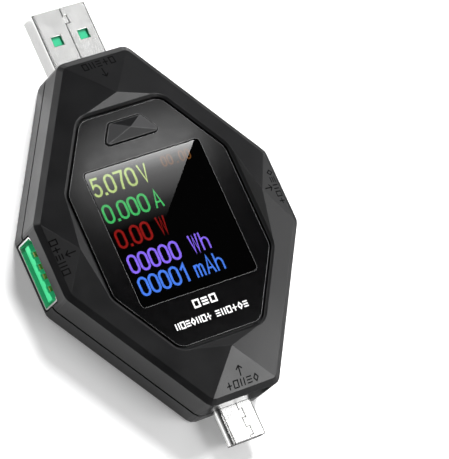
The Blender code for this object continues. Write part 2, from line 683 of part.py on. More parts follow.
# ---------------------------------------------------------------- main board
main_board = add_part("main_board", prism_mesh(
    "main_board", [grow(BODY_OUTLINE, -WALL - GAP)], BOARD_BOTTOM, BOARD_TOP), BOARD_GREEN)
cut(main_board, add_cutter(rods_at_screws(
    "board_hole", BOARD_HOLE_RADIUS, BOARD_BOTTOM - OUTSIDE, BOARD_TOP + OUTSIDE)))
NOTCHES = (
    (plug_a_port, PLUG_A_WIDTH, PLUG_A_ROOT, PLUG_Z),
    (socket_a_port, SOCKET_A_WIDTH, SOCKET_A_DEPTH, SOCKET_Z),
    (plug_c_port, PLUG_C_WIDTH, PLUG_C_ROOT, PLUG_Z),
    (socket_c_port, SOCKET_C_WIDTH, SOCKET_C_DEPTH, SOCKET_Z),
)
for port, width, depth, height in NOTCHES:
    half = width / 2 + GAP
    cut(main_board, add_cutter(box_mesh(
        "notch_" + port.name, (-half, -depth - GAP, BOARD_BOTTOM - OUTSIDE - height),
        (half, OUTSIDE, BOARD_TOP + OUTSIDE - height)), port))

# ---------------------------------------------------------------- parts on the board
CHIP_TOP = BOARD_BOTTOM - FINE_GAP      # chips hang under the board
CHIP_STANDOFF = 0.0001
CHIP_CORNER = 0.0002
LEAD_REACH = 0.0008
LEAD_ROOT = 0.0005
LEAD_THICKNESS = 0.0003
LEAD_SHARE = 0.22           # half of a lead's width, as a share of the pitch


def add_leads(chip, name, bars):
    if bars:
        combine(chip, add_cutter(merged_mesh(name, bars)), "UNION")


def add_chip(name, centre, size, thickness, leads_x, leads_y, lead_pitch):
    """A chip under the board, with leads out of its X sides and out of its Y sides."""
    x, y = centre
    width, length = size
    outline = [(x + px, y + py) for px, py in rounded_rectangle(width, length, CHIP_CORNER, 1)]
    chip = add_part(name, prism_mesh(
        name, [outline], CHIP_TOP - thickness, CHIP_TOP - CHIP_STANDOFF), BLACK_PLASTIC)
    half_lead = lead_pitch * LEAD_SHARE
    lead_low = CHIP_TOP - LEAD_THICKNESS
    reach_x = width / 2 + LEAD_REACH
    bars = []
    for index in range(leads_x):
        offset = (index - (leads_x - 1) / 2) * lead_pitch
        bars.append(box_mesh(
            name, (x - reach_x, y + offset - half_lead, lead_low),
            (x + reach_x, y + offset + half_lead, CHIP_TOP)))
    add_leads(chip, name + "_leads_x", bars)
    bars = []
    for index in range(leads_y):
        offset = (index - (leads_y - 1) / 2) * lead_pitch
        for side in (-1, 1):
            near = y + side * (length / 2 - LEAD_ROOT)
            far = y + side * (length / 2 + LEAD_REACH)
            bars.append(box_mesh(
                name, (x + offset - half_lead, min(near, far), lead_low),
                (x + offset + half_lead, max(near, far), CHIP_TOP)))
    add_leads(chip, name + "_leads_y", bars)
    return chip


add_chip("controller_chip", (0.0030, 0.0050), (0.0070, 0.0070), 0.0014, 6, 6, 0.0010)
add_chip("memory_chip", (0.0130, 0.0140), (0.0039, 0.0049), 0.0015, 4, 0, 0.00127)
add_chip("voltage_regulator", (-0.0050, -0.0120), (0.0026, 0.0045), 0.0015, 3, 0, 0.0015)
add_chip("load_switch", (0.0115, -0.0110), (0.0039, 0.0049), 0.0015, 4, 0, 0.00127)
add_chip("current_shunt", (-0.0035, 0.0215), (0.0064, 0.0032), 0.0006, 0, 0, 0.0010)
add_chip("crystal", (0.0035, -0.0040), (0.0032, 0.0025), 0.0008, 0, 0, 0.0010).data.materials[0] = STEEL
for index, (x, y) in enumerate(((-0.0040, -0.0180), (0.0040, -0.0180), (-0.0120, 0.0130))):
    capacitor = add_chip(f"filter_capacitor_{index + 1}", (x, y), (0.0032, 0.0018), 0.0015, 0, 0, 0.0010)
    capacitor.data.materials[0] = TANTALUM_YELLOW if index == 2 else CERAMIC_TAN

# ---------------------------------------------------------------- button and its switch
button_axis = add_empty("button_axis", (0.0, BUTTON_Y, 0.0), 0.0, meter)
CAP_FOOT_Z = BUTTON_FLANGE_TOP - 0.0002     # the cap starts inside its flange
CROWN_OVERHANG = 0.0001
crown_outline = grow(BUTTON_OUTLINE, CROWN_OVERHANG)
crown = (
    at_height(crown_outline, CAP_FOOT_Z - OUTSIDE)
    + at_height(crown_outline, BUTTON_EDGE_Z)
    + [(0.0, 0.0, BUTTON_PEAK_Z)]
)
button_cap = add_part("button_cap", prism_mesh(
    "button_cap", [round_corners(BUTTON_OUTLINE, BUTTON_CORNER, BUTTON_CORNER_STEPS)],
    CAP_FOOT_Z, BUTTON_PEAK_Z + OUTSIDE), BLACK_CASE, button_axis)
combine(button_cap, add_cutter(hull_mesh("button_crown", crown), button_axis), "INTERSECT")
combine(button_cap, add_cutter(prism_mesh(
    "button_flange", [round_corners(grow(BUTTON_OUTLINE, BUTTON_FLANGE), BUTTON_CORNER, BUTTON_CORNER_STEPS)],
    BUTTON_FOOT_Z, BUTTON_FLANGE_TOP), button_axis), "UNION")

SWITCH_TOP = 0.0080
SWITCH_HALF_X = 0.0025
SWITCH_HALF_Y = 0.0023
WELL_FLOOR = 0.0069
WELL_RADIUS = 0.0015
PLUNGER_RADIUS = 0.0012
PLUNGER_GAP = 0.00015       # left under the plunger when the button is fully pressed
switch_body = add_part("switch_body", box_mesh(
    "switch_body", (-SWITCH_HALF_X, -SWITCH_HALF_Y, BOARD_TOP + FINE_GAP),
    (SWITCH_HALF_X, SWITCH_HALF_Y, SWITCH_TOP)), BLACK_PLASTIC, button_axis)
cut(switch_body, add_cutter(
    rod_mesh("switch_well", WELL_RADIUS, WELL_FLOOR, SWITCH_TOP + OUTSIDE), button_axis))
add_part("switch_plunger", rod_mesh(
    "switch_plunger", PLUNGER_RADIUS, WELL_FLOOR + BUTTON_TRAVEL + PLUNGER_GAP, BUTTON_FOOT_Z - GAP,
    segments=24), WHITE_PLASTIC, button_axis)


# ---------------------------------------------------------------- USB contacts
def add_contacts(prefix, port, width, low_y, high_y, low_z, high_z):
    for index, pitch in enumerate(CONTACT_PITCHES):
        add_part(f"{prefix}_{index + 1}", box_mesh(
            prefix, (pitch - width / 2, low_y, low_z), (pitch + width / 2, high_y, high_z)), GOLD, port)


def contact_grooves(name, width, low_y, high_y, low_z, high_z):
    return merged_mesh(name, [
        box_mesh(name, (pitch - width / 2, low_y, low_z), (pitch + width / 2, high_y, high_z))
        for pitch in CONTACT_PITCHES])


# ---------------------------------------------------------------- USB-A plug
SHEET_CORNER = 0.0005       # outer and inner corner radius of the folded USB-A shells
SHEET_CORNER_INSIDE = 0.0002
plug_a_shell = add_part("usb_a_plug_shell", prism_mesh(
    "usb_a_plug_shell",
    [
        rounded_rectangle(PLUG_A_WIDTH, PLUG_A_HEIGHT, SHEET_CORNER),
        rounded_rectangle(PLUG_A_WIDTH - 2 * PLUG_A_SHEET, PLUG_A_HEIGHT - 2 * PLUG_A_SHEET,
                          SHEET_CORNER_INSIDE, 2),
    ],
    -PLUG_A_ROOT, PLUG_A_REACH, along_y=True), BRIGHT_METAL, plug_a_port)
LATCH_HALF_WIDTH = 0.0011
LATCH_HALF_LENGTH = 0.00098
LATCH_X = 0.00292
LATCH_Y = PLUG_A_REACH - 0.00615
for side in (-1, 1):
    x = side * LATCH_X
    cut(plug_a_shell, add_cutter(prism_mesh(
        f"latch_window_{side}",
        [rectangle(x - LATCH_HALF_WIDTH, LATCH_Y - LATCH_HALF_LENGTH,
                   x + LATCH_HALF_WIDTH, LATCH_Y + LATCH_HALF_LENGTH)],
        -PLUG_A_HEIGHT, PLUG_A_HEIGHT), plug_a_port))

SEAM_WIDTH = 0.00018        # the joint of the folded sheet, with a dovetail tab
SEAM_DEPTH = 0.00022
PLUG_A_SEAM_X = 0.00025
plug_a_seam = [
    (PLUG_A_SEAM_X, PLUG_A_REACH + 0.0003),
    (PLUG_A_SEAM_X, PLUG_A_REACH - 0.0018),
    (PLUG_A_SEAM_X + 0.0008, PLUG_A_REACH - 0.0017),
    (PLUG_A_SEAM_X + 0.0009, PLUG_A_REACH - 0.0033),
    (PLUG_A_SEAM_X, PLUG_A_REACH - 0.0032),
    (PLUG_A_SEAM_X, -PLUG_A_ROOT - 0.0003),
]
cut(plug_a_shell, add_cutter(prism_mesh(
    "plug_a_seam", [ribbon(plug_a_seam, SEAM_WIDTH)],
    PLUG_A_HEIGHT / 2 - SEAM_DEPTH, PLUG_A_HEIGHT / 2 + OUTSIDE), plug_a_port))

CONTACT_WIDTH = 0.0010
GROOVE_WIDTH = CONTACT_WIDTH + 2 * FINE_GAP
plug_a_inside = PLUG_A_HEIGHT / 2 - PLUG_A_SHEET
INSULATOR_A_TOP = plug_a_inside - FINE_GAP
INSULATOR_A_BOTTOM = INSULATOR_A_TOP - 0.0019
INSULATOR_A_FRONT = PLUG_A_REACH - 0.0004
PLUG_CONTACT_BACK = PLUG_A_REACH - 0.0086
PLUG_CONTACT_FRONT = INSULATOR_A_FRONT - 0.0012
insulator_half = PLUG_A_WIDTH / 2 - PLUG_A_SHEET - FINE_GAP
plug_a_insulator = add_part("usb_a_plug_insulator", box_mesh(
    "usb_a_plug_insulator", (-insulator_half, -PLUG_A_ROOT + GAP, INSULATOR_A_BOTTOM),
    (insulator_half, INSULATOR_A_FRONT, INSULATOR_A_TOP)), GREEN_PLASTIC, plug_a_port)
cut(plug_a_insulator, add_cutter(contact_grooves(
    "plug_a_grooves", GROOVE_WIDTH, PLUG_CONTACT_BACK - FINE_GAP, PLUG_CONTACT_FRONT + FINE_GAP,
    INSULATOR_A_BOTTOM - OUTSIDE, INSULATOR_A_BOTTOM + 0.0005), plug_a_port))
add_contacts(
    "usb_a_plug_contact", plug_a_port, CONTACT_WIDTH, PLUG_CONTACT_BACK, PLUG_CONTACT_FRONT,
    INSULATOR_A_BOTTOM - 0.0001, INSULATOR_A_BOTTOM + 0.0003)

# ---------------------------------------------------------------- USB-A socket
SOCKET_SET_BACK = 0.0001        # each socket's mouth sits just inside the wall's face
socket_a_shell = add_part("usb_a_socket_shell", prism_mesh(
    "usb_a_socket_shell",
    [
        rounded_rectangle(SOCKET_A_WIDTH, SOCKET_A_HEIGHT, SHEET_CORNER),
        rounded_rectangle(SOCKET_A_WIDTH - 2 * SOCKET_A_SHEET, SOCKET_A_HEIGHT - 2 * SOCKET_A_SHEET,
                          SHEET_CORNER_INSIDE, 2),
    ],
    -SOCKET_A_DEPTH, -SOCKET_SET_BACK, along_y=True), BRIGHT_METAL, socket_a_port)
SPRING_X = 0.0030               # two sprung strips in the top and bottom of the shell
SPRING_HALF_WIDTH = 0.0010
SPRING_SLOT = 0.0002
SPRING_BACK = -0.0075
SPRING_FRONT = -0.0020
spring_slots = []
for strip in (-SPRING_X, SPRING_X):
    for x in (strip - SPRING_HALF_WIDTH, strip + SPRING_HALF_WIDTH):
        spring_slots.append(box_mesh(
            "slot", (x - SPRING_SLOT / 2, SPRING_BACK, -SOCKET_A_HEIGHT),
            (x + SPRING_SLOT / 2, SPRING_FRONT, SOCKET_A_HEIGHT)))
cut(socket_a_shell, add_cutter(merged_mesh("socket_a_spring_slots", spring_slots), socket_a_port))
MOUTH_HALF_WIDTH = SOCKET_A_WIDTH / 2 - 0.0008
MOUTH_SET_BACK = 0.0011         # the shell's top edge stands back from the wall
cut(socket_a_shell, add_cutter(box_mesh(
    "socket_a_top_edge", (-MOUTH_HALF_WIDTH, -MOUTH_SET_BACK, SOCKET_A_HEIGHT / 2 - 0.0005),
    (MOUTH_HALF_WIDTH, OUTSIDE, SOCKET_A_HEIGHT / 2 + OUTSIDE)), socket_a_port))

TONGUE_A_LOW = -0.00145         # the tongue sits nearer the rear cover
TONGUE_A_HIGH = TONGUE_A_LOW + 0.00184
TONGUE_A_HALF_WIDTH = 0.00555
TONGUE_A_FRONT = -0.0005
TONGUE_A_BASE = -0.0102
SOCKET_CONTACT_BACK = -0.0093
block_half_x = SOCKET_A_WIDTH / 2 - SOCKET_A_SHEET - FINE_GAP
block_half_z = SOCKET_A_HEIGHT / 2 - SOCKET_A_SHEET - FINE_GAP
socket_a_tongue = add_part("usb_a_socket_tongue", box_mesh(
    "usb_a_socket_tongue", (-block_half_x, -SOCKET_A_DEPTH + GAP, -block_half_z),
    (block_half_x, TONGUE_A_BASE, block_half_z)), GREEN_PLASTIC, socket_a_port)
combine(socket_a_tongue, add_cutter(box_mesh(
    "tongue_a_blade", (-TONGUE_A_HALF_WIDTH, TONGUE_A_BASE - OUTSIDE, TONGUE_A_LOW),
    (TONGUE_A_HALF_WIDTH, TONGUE_A_FRONT, TONGUE_A_HIGH)), socket_a_port), "UNION")
cut(socket_a_tongue, add_cutter(contact_grooves(
    "tongue_a_grooves", GROOVE_WIDTH, SOCKET_CONTACT_BACK - FINE_GAP, OUTSIDE,
    TONGUE_A_HIGH - 0.0004, TONGUE_A_HIGH + FINE_GAP), socket_a_port))
add_contacts(
    "usb_a_socket_contact", socket_a_port, CONTACT_WIDTH, SOCKET_CONTACT_BACK, TONGUE_A_FRONT - GAP,
    TONGUE_A_HIGH - 0.0002, TONGUE_A_HIGH + 0.0002)

# ---------------------------------------------------------------- USB-C plug
plug_c_shell = add_part("usb_c_plug_shell", prism_mesh(
    "usb_c_plug_shell",
    [
        stadium(PLUG_C_WIDTH, PLUG_C_HEIGHT),
        stadium(PLUG_C_WIDTH - 2 * PLUG_C_SHEET, PLUG_C_HEIGHT - 2 * PLUG_C_SHEET),
    ],
    -PLUG_C_ROOT, PLUG_C_REACH, along_y=True), BRIGHT_METAL, plug_c_port)
PLUG_C_SEAM_X = -0.00045
PLUG_C_SEAM_DEPTH = 0.00015
PLUG_C_TABS = (0.00125, 0.00480)
SEAM_TAB = 0.0008
SEAM_TAB_LENGTH = 0.0016
plug_c_seam = [(PLUG_C_SEAM_X, -PLUG_C_ROOT - GAP)]
for tab_start in PLUG_C_TABS:
    tab_end = tab_start + SEAM_TAB_LENGTH
    plug_c_seam += [
        (PLUG_C_SEAM_X, tab_start),
        (PLUG_C_SEAM_X - SEAM_TAB, tab_start - 0.0001),
        (PLUG_C_SEAM_X - SEAM_TAB, tab_end + 0.0001),
        (PLUG_C_SEAM_X, tab_end),
    ]
plug_c_seam.append((PLUG_C_SEAM_X, PLUG_C_REACH + GAP))
cut(plug_c_shell, add_cutter(prism_mesh(
    "plug_c_seam", [ribbon(plug_c_seam, SEAM_WIDTH)],
    PLUG_C_HEIGHT / 2 - PLUG_C_SEAM_DEPTH, PLUG_C_HEIGHT / 2 + OUTSIDE), plug_c_port))

liner_width = PLUG_C_WIDTH - 2 * (PLUG_C_SHEET + FINE_GAP)
liner_height = PLUG_C_HEIGHT - 2 * (PLUG_C_SHEET + FINE_GAP)
plug_c_liner = add_part("usb_c_plug_liner", prism_mesh(
    "usb_c_plug_liner", [stadium(liner_width, liner_height)], -PLUG_C_ROOT + GAP,
    PLUG_C_REACH - GAP, along_y=True), BLACK_PLASTIC, plug_c_port)
PLUG_C_SLOT_WIDTH = 0.0068
PLUG_C_SLOT_HEIGHT = 0.0009
PLUG_C_SLOT_BACK = 0.0015
SLOT_CORNER = 0.0002
cut(plug_c_liner, add_cutter(prism_mesh(
    "plug_c_slot", [rounded_rectangle(PLUG_C_SLOT_WIDTH, PLUG_C_SLOT_HEIGHT, SLOT_CORNER, 2)],
    PLUG_C_SLOT_BACK, PLUG_C_REACH + OUTSIDE, along_y=True), plug_c_port))

# ---------------------------------------------------------------- USB-C socket
TONGUE_C_WIDTH = 0.00669
TONGUE_C_HEIGHT = 0.0007
TONGUE_C_BASE = -0.0055
TONGUE_C_FRONT = -0.0008
socket_c_shell = add_part("usb_c_socket_shell", prism_mesh(
    "usb_c_socket_shell",
    [
        stadium(SOCKET_C_WIDTH, SOCKET_C_HEIGHT),
        stadium(SOCKET_C_WIDTH - 2 * SOCKET_C_SHEET, SOCKET_C_HEIGHT - 2 * SOCKET_C_SHEET),
    ],
    -SOCKET_C_DEPTH, -SOCKET_SET_BACK, along_y=True), BRIGHT_METAL, socket_c_port)
socket_c_tongue = add_part("usb_c_socket_tongue", prism_mesh(
    "usb_c_socket_tongue",
    [stadium(SOCKET_C_WIDTH - 2 * (SOCKET_C_SHEET + FINE_GAP),
             SOCKET_C_HEIGHT - 2 * (SOCKET_C_SHEET + FINE_GAP))],
    -SOCKET_C_DEPTH + GAP, TONGUE_C_BASE, along_y=True), BLACK_PLASTIC, socket_c_port)
combine(socket_c_tongue, add_cutter(prism_mesh(
    "tongue_c_blade", [rounded_rectangle(TONGUE_C_WIDTH, TONGUE_C_HEIGHT, SLOT_CORNER, 2)],
    TONGUE_C_BASE - 0.0005, TONGUE_C_FRONT, along_y=True), socket_c_port), "UNION")

SHARP_ANGLE = 35.0
SHARP_FACET_ANGLE = 5.0
FACETED = (front_cover, rear_cover, button_cap)
for part in parts.objects:
    shade_round(part, SHARP_FACET_ANGLE if part in FACETED else SHARP_ANGLE)
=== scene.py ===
"""USB power meter: finishes, display readings, printed marks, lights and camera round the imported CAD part.

Everything is in metres in the part's own frame. The meter lies face up with its USB-A plug along +Y.
"""
import math

import bmesh
import bpy
from mathutils import Matrix, Vector
from mathutils.bvhtree import BVHTree


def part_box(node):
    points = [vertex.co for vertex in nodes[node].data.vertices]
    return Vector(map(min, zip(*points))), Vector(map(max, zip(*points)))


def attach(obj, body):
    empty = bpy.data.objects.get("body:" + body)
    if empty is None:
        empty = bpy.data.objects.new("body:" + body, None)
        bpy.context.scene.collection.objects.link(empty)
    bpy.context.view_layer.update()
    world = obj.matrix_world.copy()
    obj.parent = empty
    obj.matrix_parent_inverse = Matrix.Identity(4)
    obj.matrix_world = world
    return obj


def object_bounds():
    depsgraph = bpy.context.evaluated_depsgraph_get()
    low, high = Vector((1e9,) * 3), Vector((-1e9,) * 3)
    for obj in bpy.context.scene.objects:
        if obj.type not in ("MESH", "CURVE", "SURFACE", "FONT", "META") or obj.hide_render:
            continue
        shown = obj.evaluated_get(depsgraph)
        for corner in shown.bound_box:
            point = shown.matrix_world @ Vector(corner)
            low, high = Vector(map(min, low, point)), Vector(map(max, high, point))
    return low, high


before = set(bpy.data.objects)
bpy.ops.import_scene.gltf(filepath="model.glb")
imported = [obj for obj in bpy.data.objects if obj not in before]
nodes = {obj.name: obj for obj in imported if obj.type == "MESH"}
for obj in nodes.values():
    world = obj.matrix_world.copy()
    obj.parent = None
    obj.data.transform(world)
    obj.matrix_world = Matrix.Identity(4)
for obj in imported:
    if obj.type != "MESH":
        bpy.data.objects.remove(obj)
cad_box = [list(corner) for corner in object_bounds()]

MM = 0.001
scene = bpy.context.scene

# ---------------------------------------------------------------- places taken from the CAD
panel_low, panel_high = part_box("screen_panel")
window_low, window_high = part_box("display_window")
lcd_low, lcd_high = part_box("lcd_top_polarizer")
BODY_Y = (panel_low.y + panel_high.y) / 2       # middle of the case, between its two plug ends
PANEL_Z = panel_high.z
WINDOW_Z = window_high.z
READING_Z = lcd_high.z + 0.03 * MM
WINDOW_TINT = 0.04              # share of the light that the smoked pane lets through

# ---------------------------------------------------------------- camera
CAMERA_PLACE = Vector((-0.30597, -0.12150, 0.54687))
CAMERA_BACK = Vector((-0.49961, -0.18075, 0.84719)).normalized()
CAMERA_UP = Vector((0.27400, 0.89480, 0.35249))
CAMERA_LENS = 265.7         # millimetres on the default 36 mm sensor

camera_data = bpy.data.cameras.new("camera")
camera_data.lens = CAMERA_LENS
camera_data.clip_start = 0.01
camera_data.clip_end = 100.0
camera = bpy.data.objects.new("camera", camera_data)
scene.collection.objects.link(camera)
camera_right = CAMERA_UP.cross(CAMERA_BACK).normalized()
camera_top = CAMERA_BACK.cross(camera_right)
camera.matrix_world = Matrix((
    (camera_right.x, camera_top.x, CAMERA_BACK.x, CAMERA_PLACE.x),
    (camera_right.y, camera_top.y, CAMERA_BACK.y, CAMERA_PLACE.y),
    (camera_right.z, camera_top.z, CAMERA_BACK.z, CAMERA_PLACE.z),
    (0.0, 0.0, 0.0, 1.0)))
scene.camera = camera
scene.view_settings.view_transform = "Standard"
scene.view_settings.look = "None"


# ---------------------------------------------------------------- material building blocks
class Graph:
    """A material with its Principled shader and short calls for wiring procedural nodes into it."""

    def __init__(self, name, color, roughness, metallic=0.0, transmission=0.0, coat=0.0, specular=0.5):
        self.material = bpy.data.materials.new(name)
        self.material.use_nodes = True
        self.tree = self.material.node_tree
        self.shader = self.tree.nodes["Principled BSDF"]
        self.set("Base Color", (*color, 1.0))
        self.set("Roughness", roughness)
        self.set("Metallic", metallic)
        self.set("Transmission Weight", transmission)
        self.set("Coat Weight", coat)
        self.set("Coat Roughness", 0.08)
        self.set("Specular IOR Level", specular)
        self.place = self.node("ShaderNodeTexCoord").outputs["Object"]

    def set(self, socket, value):
        self.shader.inputs[socket].default_value = value

    def node(self, kind, **settings):
        made = self.tree.nodes.new(kind)
        for key, value in settings.items():
            setattr(made, key, value)
        return made

    def link(self, source, target):
        self.tree.links.new(source, target)

    def stretched(self, scale):
        """Object coordinates scaled separately along each axis, for brushed or drawn surfaces."""
        mapping = self.node("ShaderNodeMapping")
        mapping.inputs["Scale"].default_value = scale
        self.link(self.place, mapping.inputs["Vector"])
        return mapping.outputs["Vector"]

    def noise(self, per_metre, detail=3.0, place=None, rough=0.55):
        made = self.node("ShaderNodeTexNoise")
        made.inputs["Scale"].default_value = per_metre
        made.inputs["Detail"].default_value = detail
        made.inputs["Roughness"].default_value = rough
        self.link(place or self.place, made.inputs["Vector"])
        return made.outputs["Fac"]

    def spread(self, source, low, high, start=0.3, end=0.7):
        """Maps a 0 to 1 pattern onto a chosen range."""
        made = self.node("ShaderNodeMapRange")
        made.inputs["From Min"].default_value = start
        made.inputs["From Max"].default_value = end
        made.inputs["To Min"].default_value = low
        made.inputs["To Max"].default_value = high
        self.link(source, made.inputs["Value"])
        return made.outputs["Result"]

    def blend(self, factor, first, second):
        made = self.node("ShaderNodeMix", data_type="RGBA")
        for socket, value in (("A", first), ("B", second)):
            target = [s for s in made.inputs if s.name == socket and s.type == "RGBA"][0]
            if isinstance(value, tuple):
                target.default_value = (*value, 1.0)
            else:
                self.link(value, target)
        self.link(factor, made.inputs[0])
        return [s for s in made.outputs if s.type == "RGBA"][0]

    def math(self, operation, first, second):
        made = self.node("ShaderNodeMath", operation=operation)
        for socket, value in zip(made.inputs, (first, second)):
            if isinstance(value, float):
                socket.default_value = value
            else:
                self.link(value, socket)
        return made.outputs[0]

    def bump(self, *layers):
        """Stacks (pattern, depth in metres) layers of surface relief."""
        normal = None
        for pattern, depth in layers:
            made = self.node("ShaderNodeBump")
            made.inputs["Distance"].default_value = depth
            self.link(pattern, made.inputs["Height"])
            if normal is not None:
                self.link(normal, made.inputs["Normal"])
            normal = made.outputs["Normal"]
        self.link(normal, self.shader.inputs["Normal"])

    def edges(self, radius, start, end):
        """1 on edges, 0 on the flats: where a rounded normal leaves the true one. It masks both wear and
        painted edge highlights.
        """
        rounded = self.node("ShaderNodeBevel", samples=4)
        rounded.inputs["Radius"].default_value = radius
        true_normal = self.node("ShaderNodeNewGeometry").outputs["Normal"]
        dot = self.node("ShaderNodeVectorMath", operation="DOT_PRODUCT")
        self.link(rounded.outputs["Normal"], dot.inputs[0])
        self.link(true_normal, dot.inputs[1])
        return self.spread(dot.outputs["Value"], 1.0, 0.0, start, end)


def moulded(name, color, roughness, grain=9000.0, grain_depth=4e-6, edge_wear_and_highlight_tone=None, coat=0.0, specular=0.5,
            painted_facet_tones=None, edge_span=(0.88, 0.995), glow=0.0):
    """Injection-moulded plastic: spark-eroded grain, slow gloss drift, faint mottling, and lighter edges that
    are partly wear and partly a painted highlight.

    The side tones are painted shade and highlight: lighter tones for the facets that lean towards -X and
    towards +X, as the light falls on them. edge_span sets how blunt an edge may be and still be lightened.
    glow is painted light: an emission in the plastic's own colour that makes it look lit.
    """
    g = Graph(name, color, roughness, coat=coat, specular=specular)
    drift = g.noise(140.0, 4.0)
    fine = g.noise(grain, 2.0)
    lighter = tuple(min(1.0, 1.35 * c + 0.001) for c in color)
    tone = g.blend(g.spread(drift, 0.0, 1.0), color, lighter)
    rough = g.math("ADD", g.spread(drift, roughness - 0.035, roughness + 0.035), g.spread(fine, -0.02, 0.02))
    # Painted shade and highlight: facets that face -X and +X get lighter tones, as if lit from those sides.
    if painted_facet_tones:
        axes = g.node("ShaderNodeSeparateXYZ")
        g.link(g.node("ShaderNodeNewGeometry").outputs["Normal"], axes.inputs[0])
        for painted_facet_tone, start, end in zip(painted_facet_tones, (-0.10, 0.10), (-0.16, 0.16)):
            tone = g.blend(g.spread(axes.outputs["X"], 0.0, 1.0, start, end), tone, painted_facet_tone)
    # Lighter, glossier edges: partly wear, partly a painted highlight along the edges.
    if edge_wear_and_highlight_tone:
        edge_wear_and_highlight_mask = g.math("MULTIPLY", g.edges(0.25 * MM, *edge_span), g.spread(g.noise(900.0, 5.0), 0.35, 1.0))
        tone = g.blend(edge_wear_and_highlight_mask, tone, edge_wear_and_highlight_tone)
        rough = g.math("SUBTRACT", rough, g.math("MULTIPLY", edge_wear_and_highlight_mask, 0.10))
    g.link(tone, g.shader.inputs["Base Color"])
    g.link(rough, g.shader.inputs["Roughness"])
    # Painted glow: emission in the plastic's own colour, which makes it look lit though it is no lamp.
    g.set("Emission Color", (*color, 1.0))
    g.set("Emission Strength", glow)
    g.bump((drift, 20e-6), (fine, grain_depth))
    return g.material


def plated(name, color, roughness, along="Y", wear=(0.45, 0.43, 0.40)):
    """Plated sheet metal: fine drawing lines along one axis, handling haze and slightly dulled edges."""
    g = Graph(name, color, roughness, metallic=1.0)
    scale = {"X": (60.0, 5200.0, 5200.0), "Y": (5200.0, 60.0, 5200.0), "Z": (5200.0, 5200.0, 60.0)}[along]
    lines = g.noise(1.0, 3.0, g.stretched(scale))
    haze = g.noise(420.0, 5.0)
    dull = tuple(0.96 * c for c in color)
    tone = g.blend(g.spread(haze, 0.0, 1.0), color, dull)
    tone = g.blend(g.math("MULTIPLY", g.edges(0.10 * MM, 0.75, 0.97), 0.5), tone, wear)
    rough = g.math("ADD", g.spread(haze, roughness - 0.01, roughness + 0.02), g.spread(lines, -0.02, 0.02))
    g.link(tone, g.shader.inputs["Base Color"])
    g.link(rough, g.shader.inputs["Roughness"])
    g.bump((haze, 0.02e-6), (lines, 0.05e-6))
    return g.material


def glowing(name, color, strength, pitch=0.15 * MM):
    """One colour of a lit display: a fine grid of picture cells, each a little uneven in brightness."""
    g = Graph(name, tuple(0.25 * c for c in color), 0.35)
    axes = g.node("ShaderNodeSeparateXYZ")
    g.link(g.place, axes.inputs[0])
    cell = None
    for axis in ("X", "Y"):
        wave = g.math("SINE", g.math("MULTIPLY", axes.outputs[axis], 2 * math.pi / pitch), 0.0)
        line = g.spread(wave, 0.72, 1.0, -0.9, 0.2)
        cell = line if cell is None else g.math("MULTIPLY", cell, line)
    uneven = g.spread(g.noise(1800.0, 2.0), 0.82, 1.12)
    g.set("Emission Color", (*color, 1.0))
    g.link(g.math("MULTIPLY", g.math("MULTIPLY", cell, uneven), strength / WINDOW_TINT),
           g.shader.inputs["Emission Strength"])
    return g.material


# ---------------------------------------------------------------- finishes of the CAD pieces
CASE_BLACK = (0.0050, 0.0050, 0.0054)
# The lighter edges of the case and the button are partly wear and partly a painted highlight.
CASE = moulded("case_satin_black", CASE_BLACK, 0.34, edge_wear_and_highlight_tone=(0.10, 0.10, 0.102))
# The button's side tones paint shade and highlight on its facets.
BUTTON = moulded("button_satin_black", CASE_BLACK, 0.30, edge_wear_and_highlight_tone=(0.20, 0.20, 0.20), specular=0.15,
                 painted_facet_tones=((0.036, 0.036, 0.037), (0.052, 0.052, 0.053)), edge_span=(0.955, 0.999))
# Painted light: the socket's tongue sits in shade, so this is the brighter copy of the green and carries a
# painted glow.
GREEN = moulded("connector_green", (0.045, 0.80, 0.30), 0.38, grain=6000.0, coat=0.2, glow=0.2)
# Painted shade: the same green plastic as the tongue, made darker because the lamps reach the plug's
# insulator.
GREEN_PAINTED_DARKER = moulded("connector_green_painted_darker", (0.030, 0.40, 0.20), 0.38, grain=6000.0, coat=0.2)
CHIP = moulded("chip_epoxy", (0.016, 0.016, 0.017), 0.55, grain=14000.0, grain_depth=6e-6)
WHITE = moulded("white_nylon", (0.80, 0.80, 0.77), 0.45, grain=7000.0)
FOAM = moulded("grey_foam", (0.11, 0.11, 0.11), 0.92, grain=4200.0, grain_depth=60e-6)
AMBER = moulded("amber_film", (0.52, 0.22, 0.03), 0.30, grain=2600.0, coat=0.6)
CERAMIC = moulded("fired_ceramic", (0.45, 0.31, 0.19), 0.60, grain=12000.0)
TANTALUM = moulded("tantalum_resin", (0.75, 0.49, 0.06), 0.48, grain=11000.0)
DARK_LINER = moulded("liner_black", (0.012, 0.012, 0.013), 0.45)
BRIGHT = plated("nickel_shell", (0.94, 0.94, 0.93), 0.24)
BRIGHT_ACROSS = plated("nickel_socket", (0.90, 0.90, 0.89), 0.24, along="X")
STEEL = plated("zinc_steel", (0.58, 0.58, 0.59), 0.33, along="Z")
GOLD = plated("gold_contact", (0.95, 0.66, 0.25), 0.24, wear=(0.80, 0.52, 0.22))


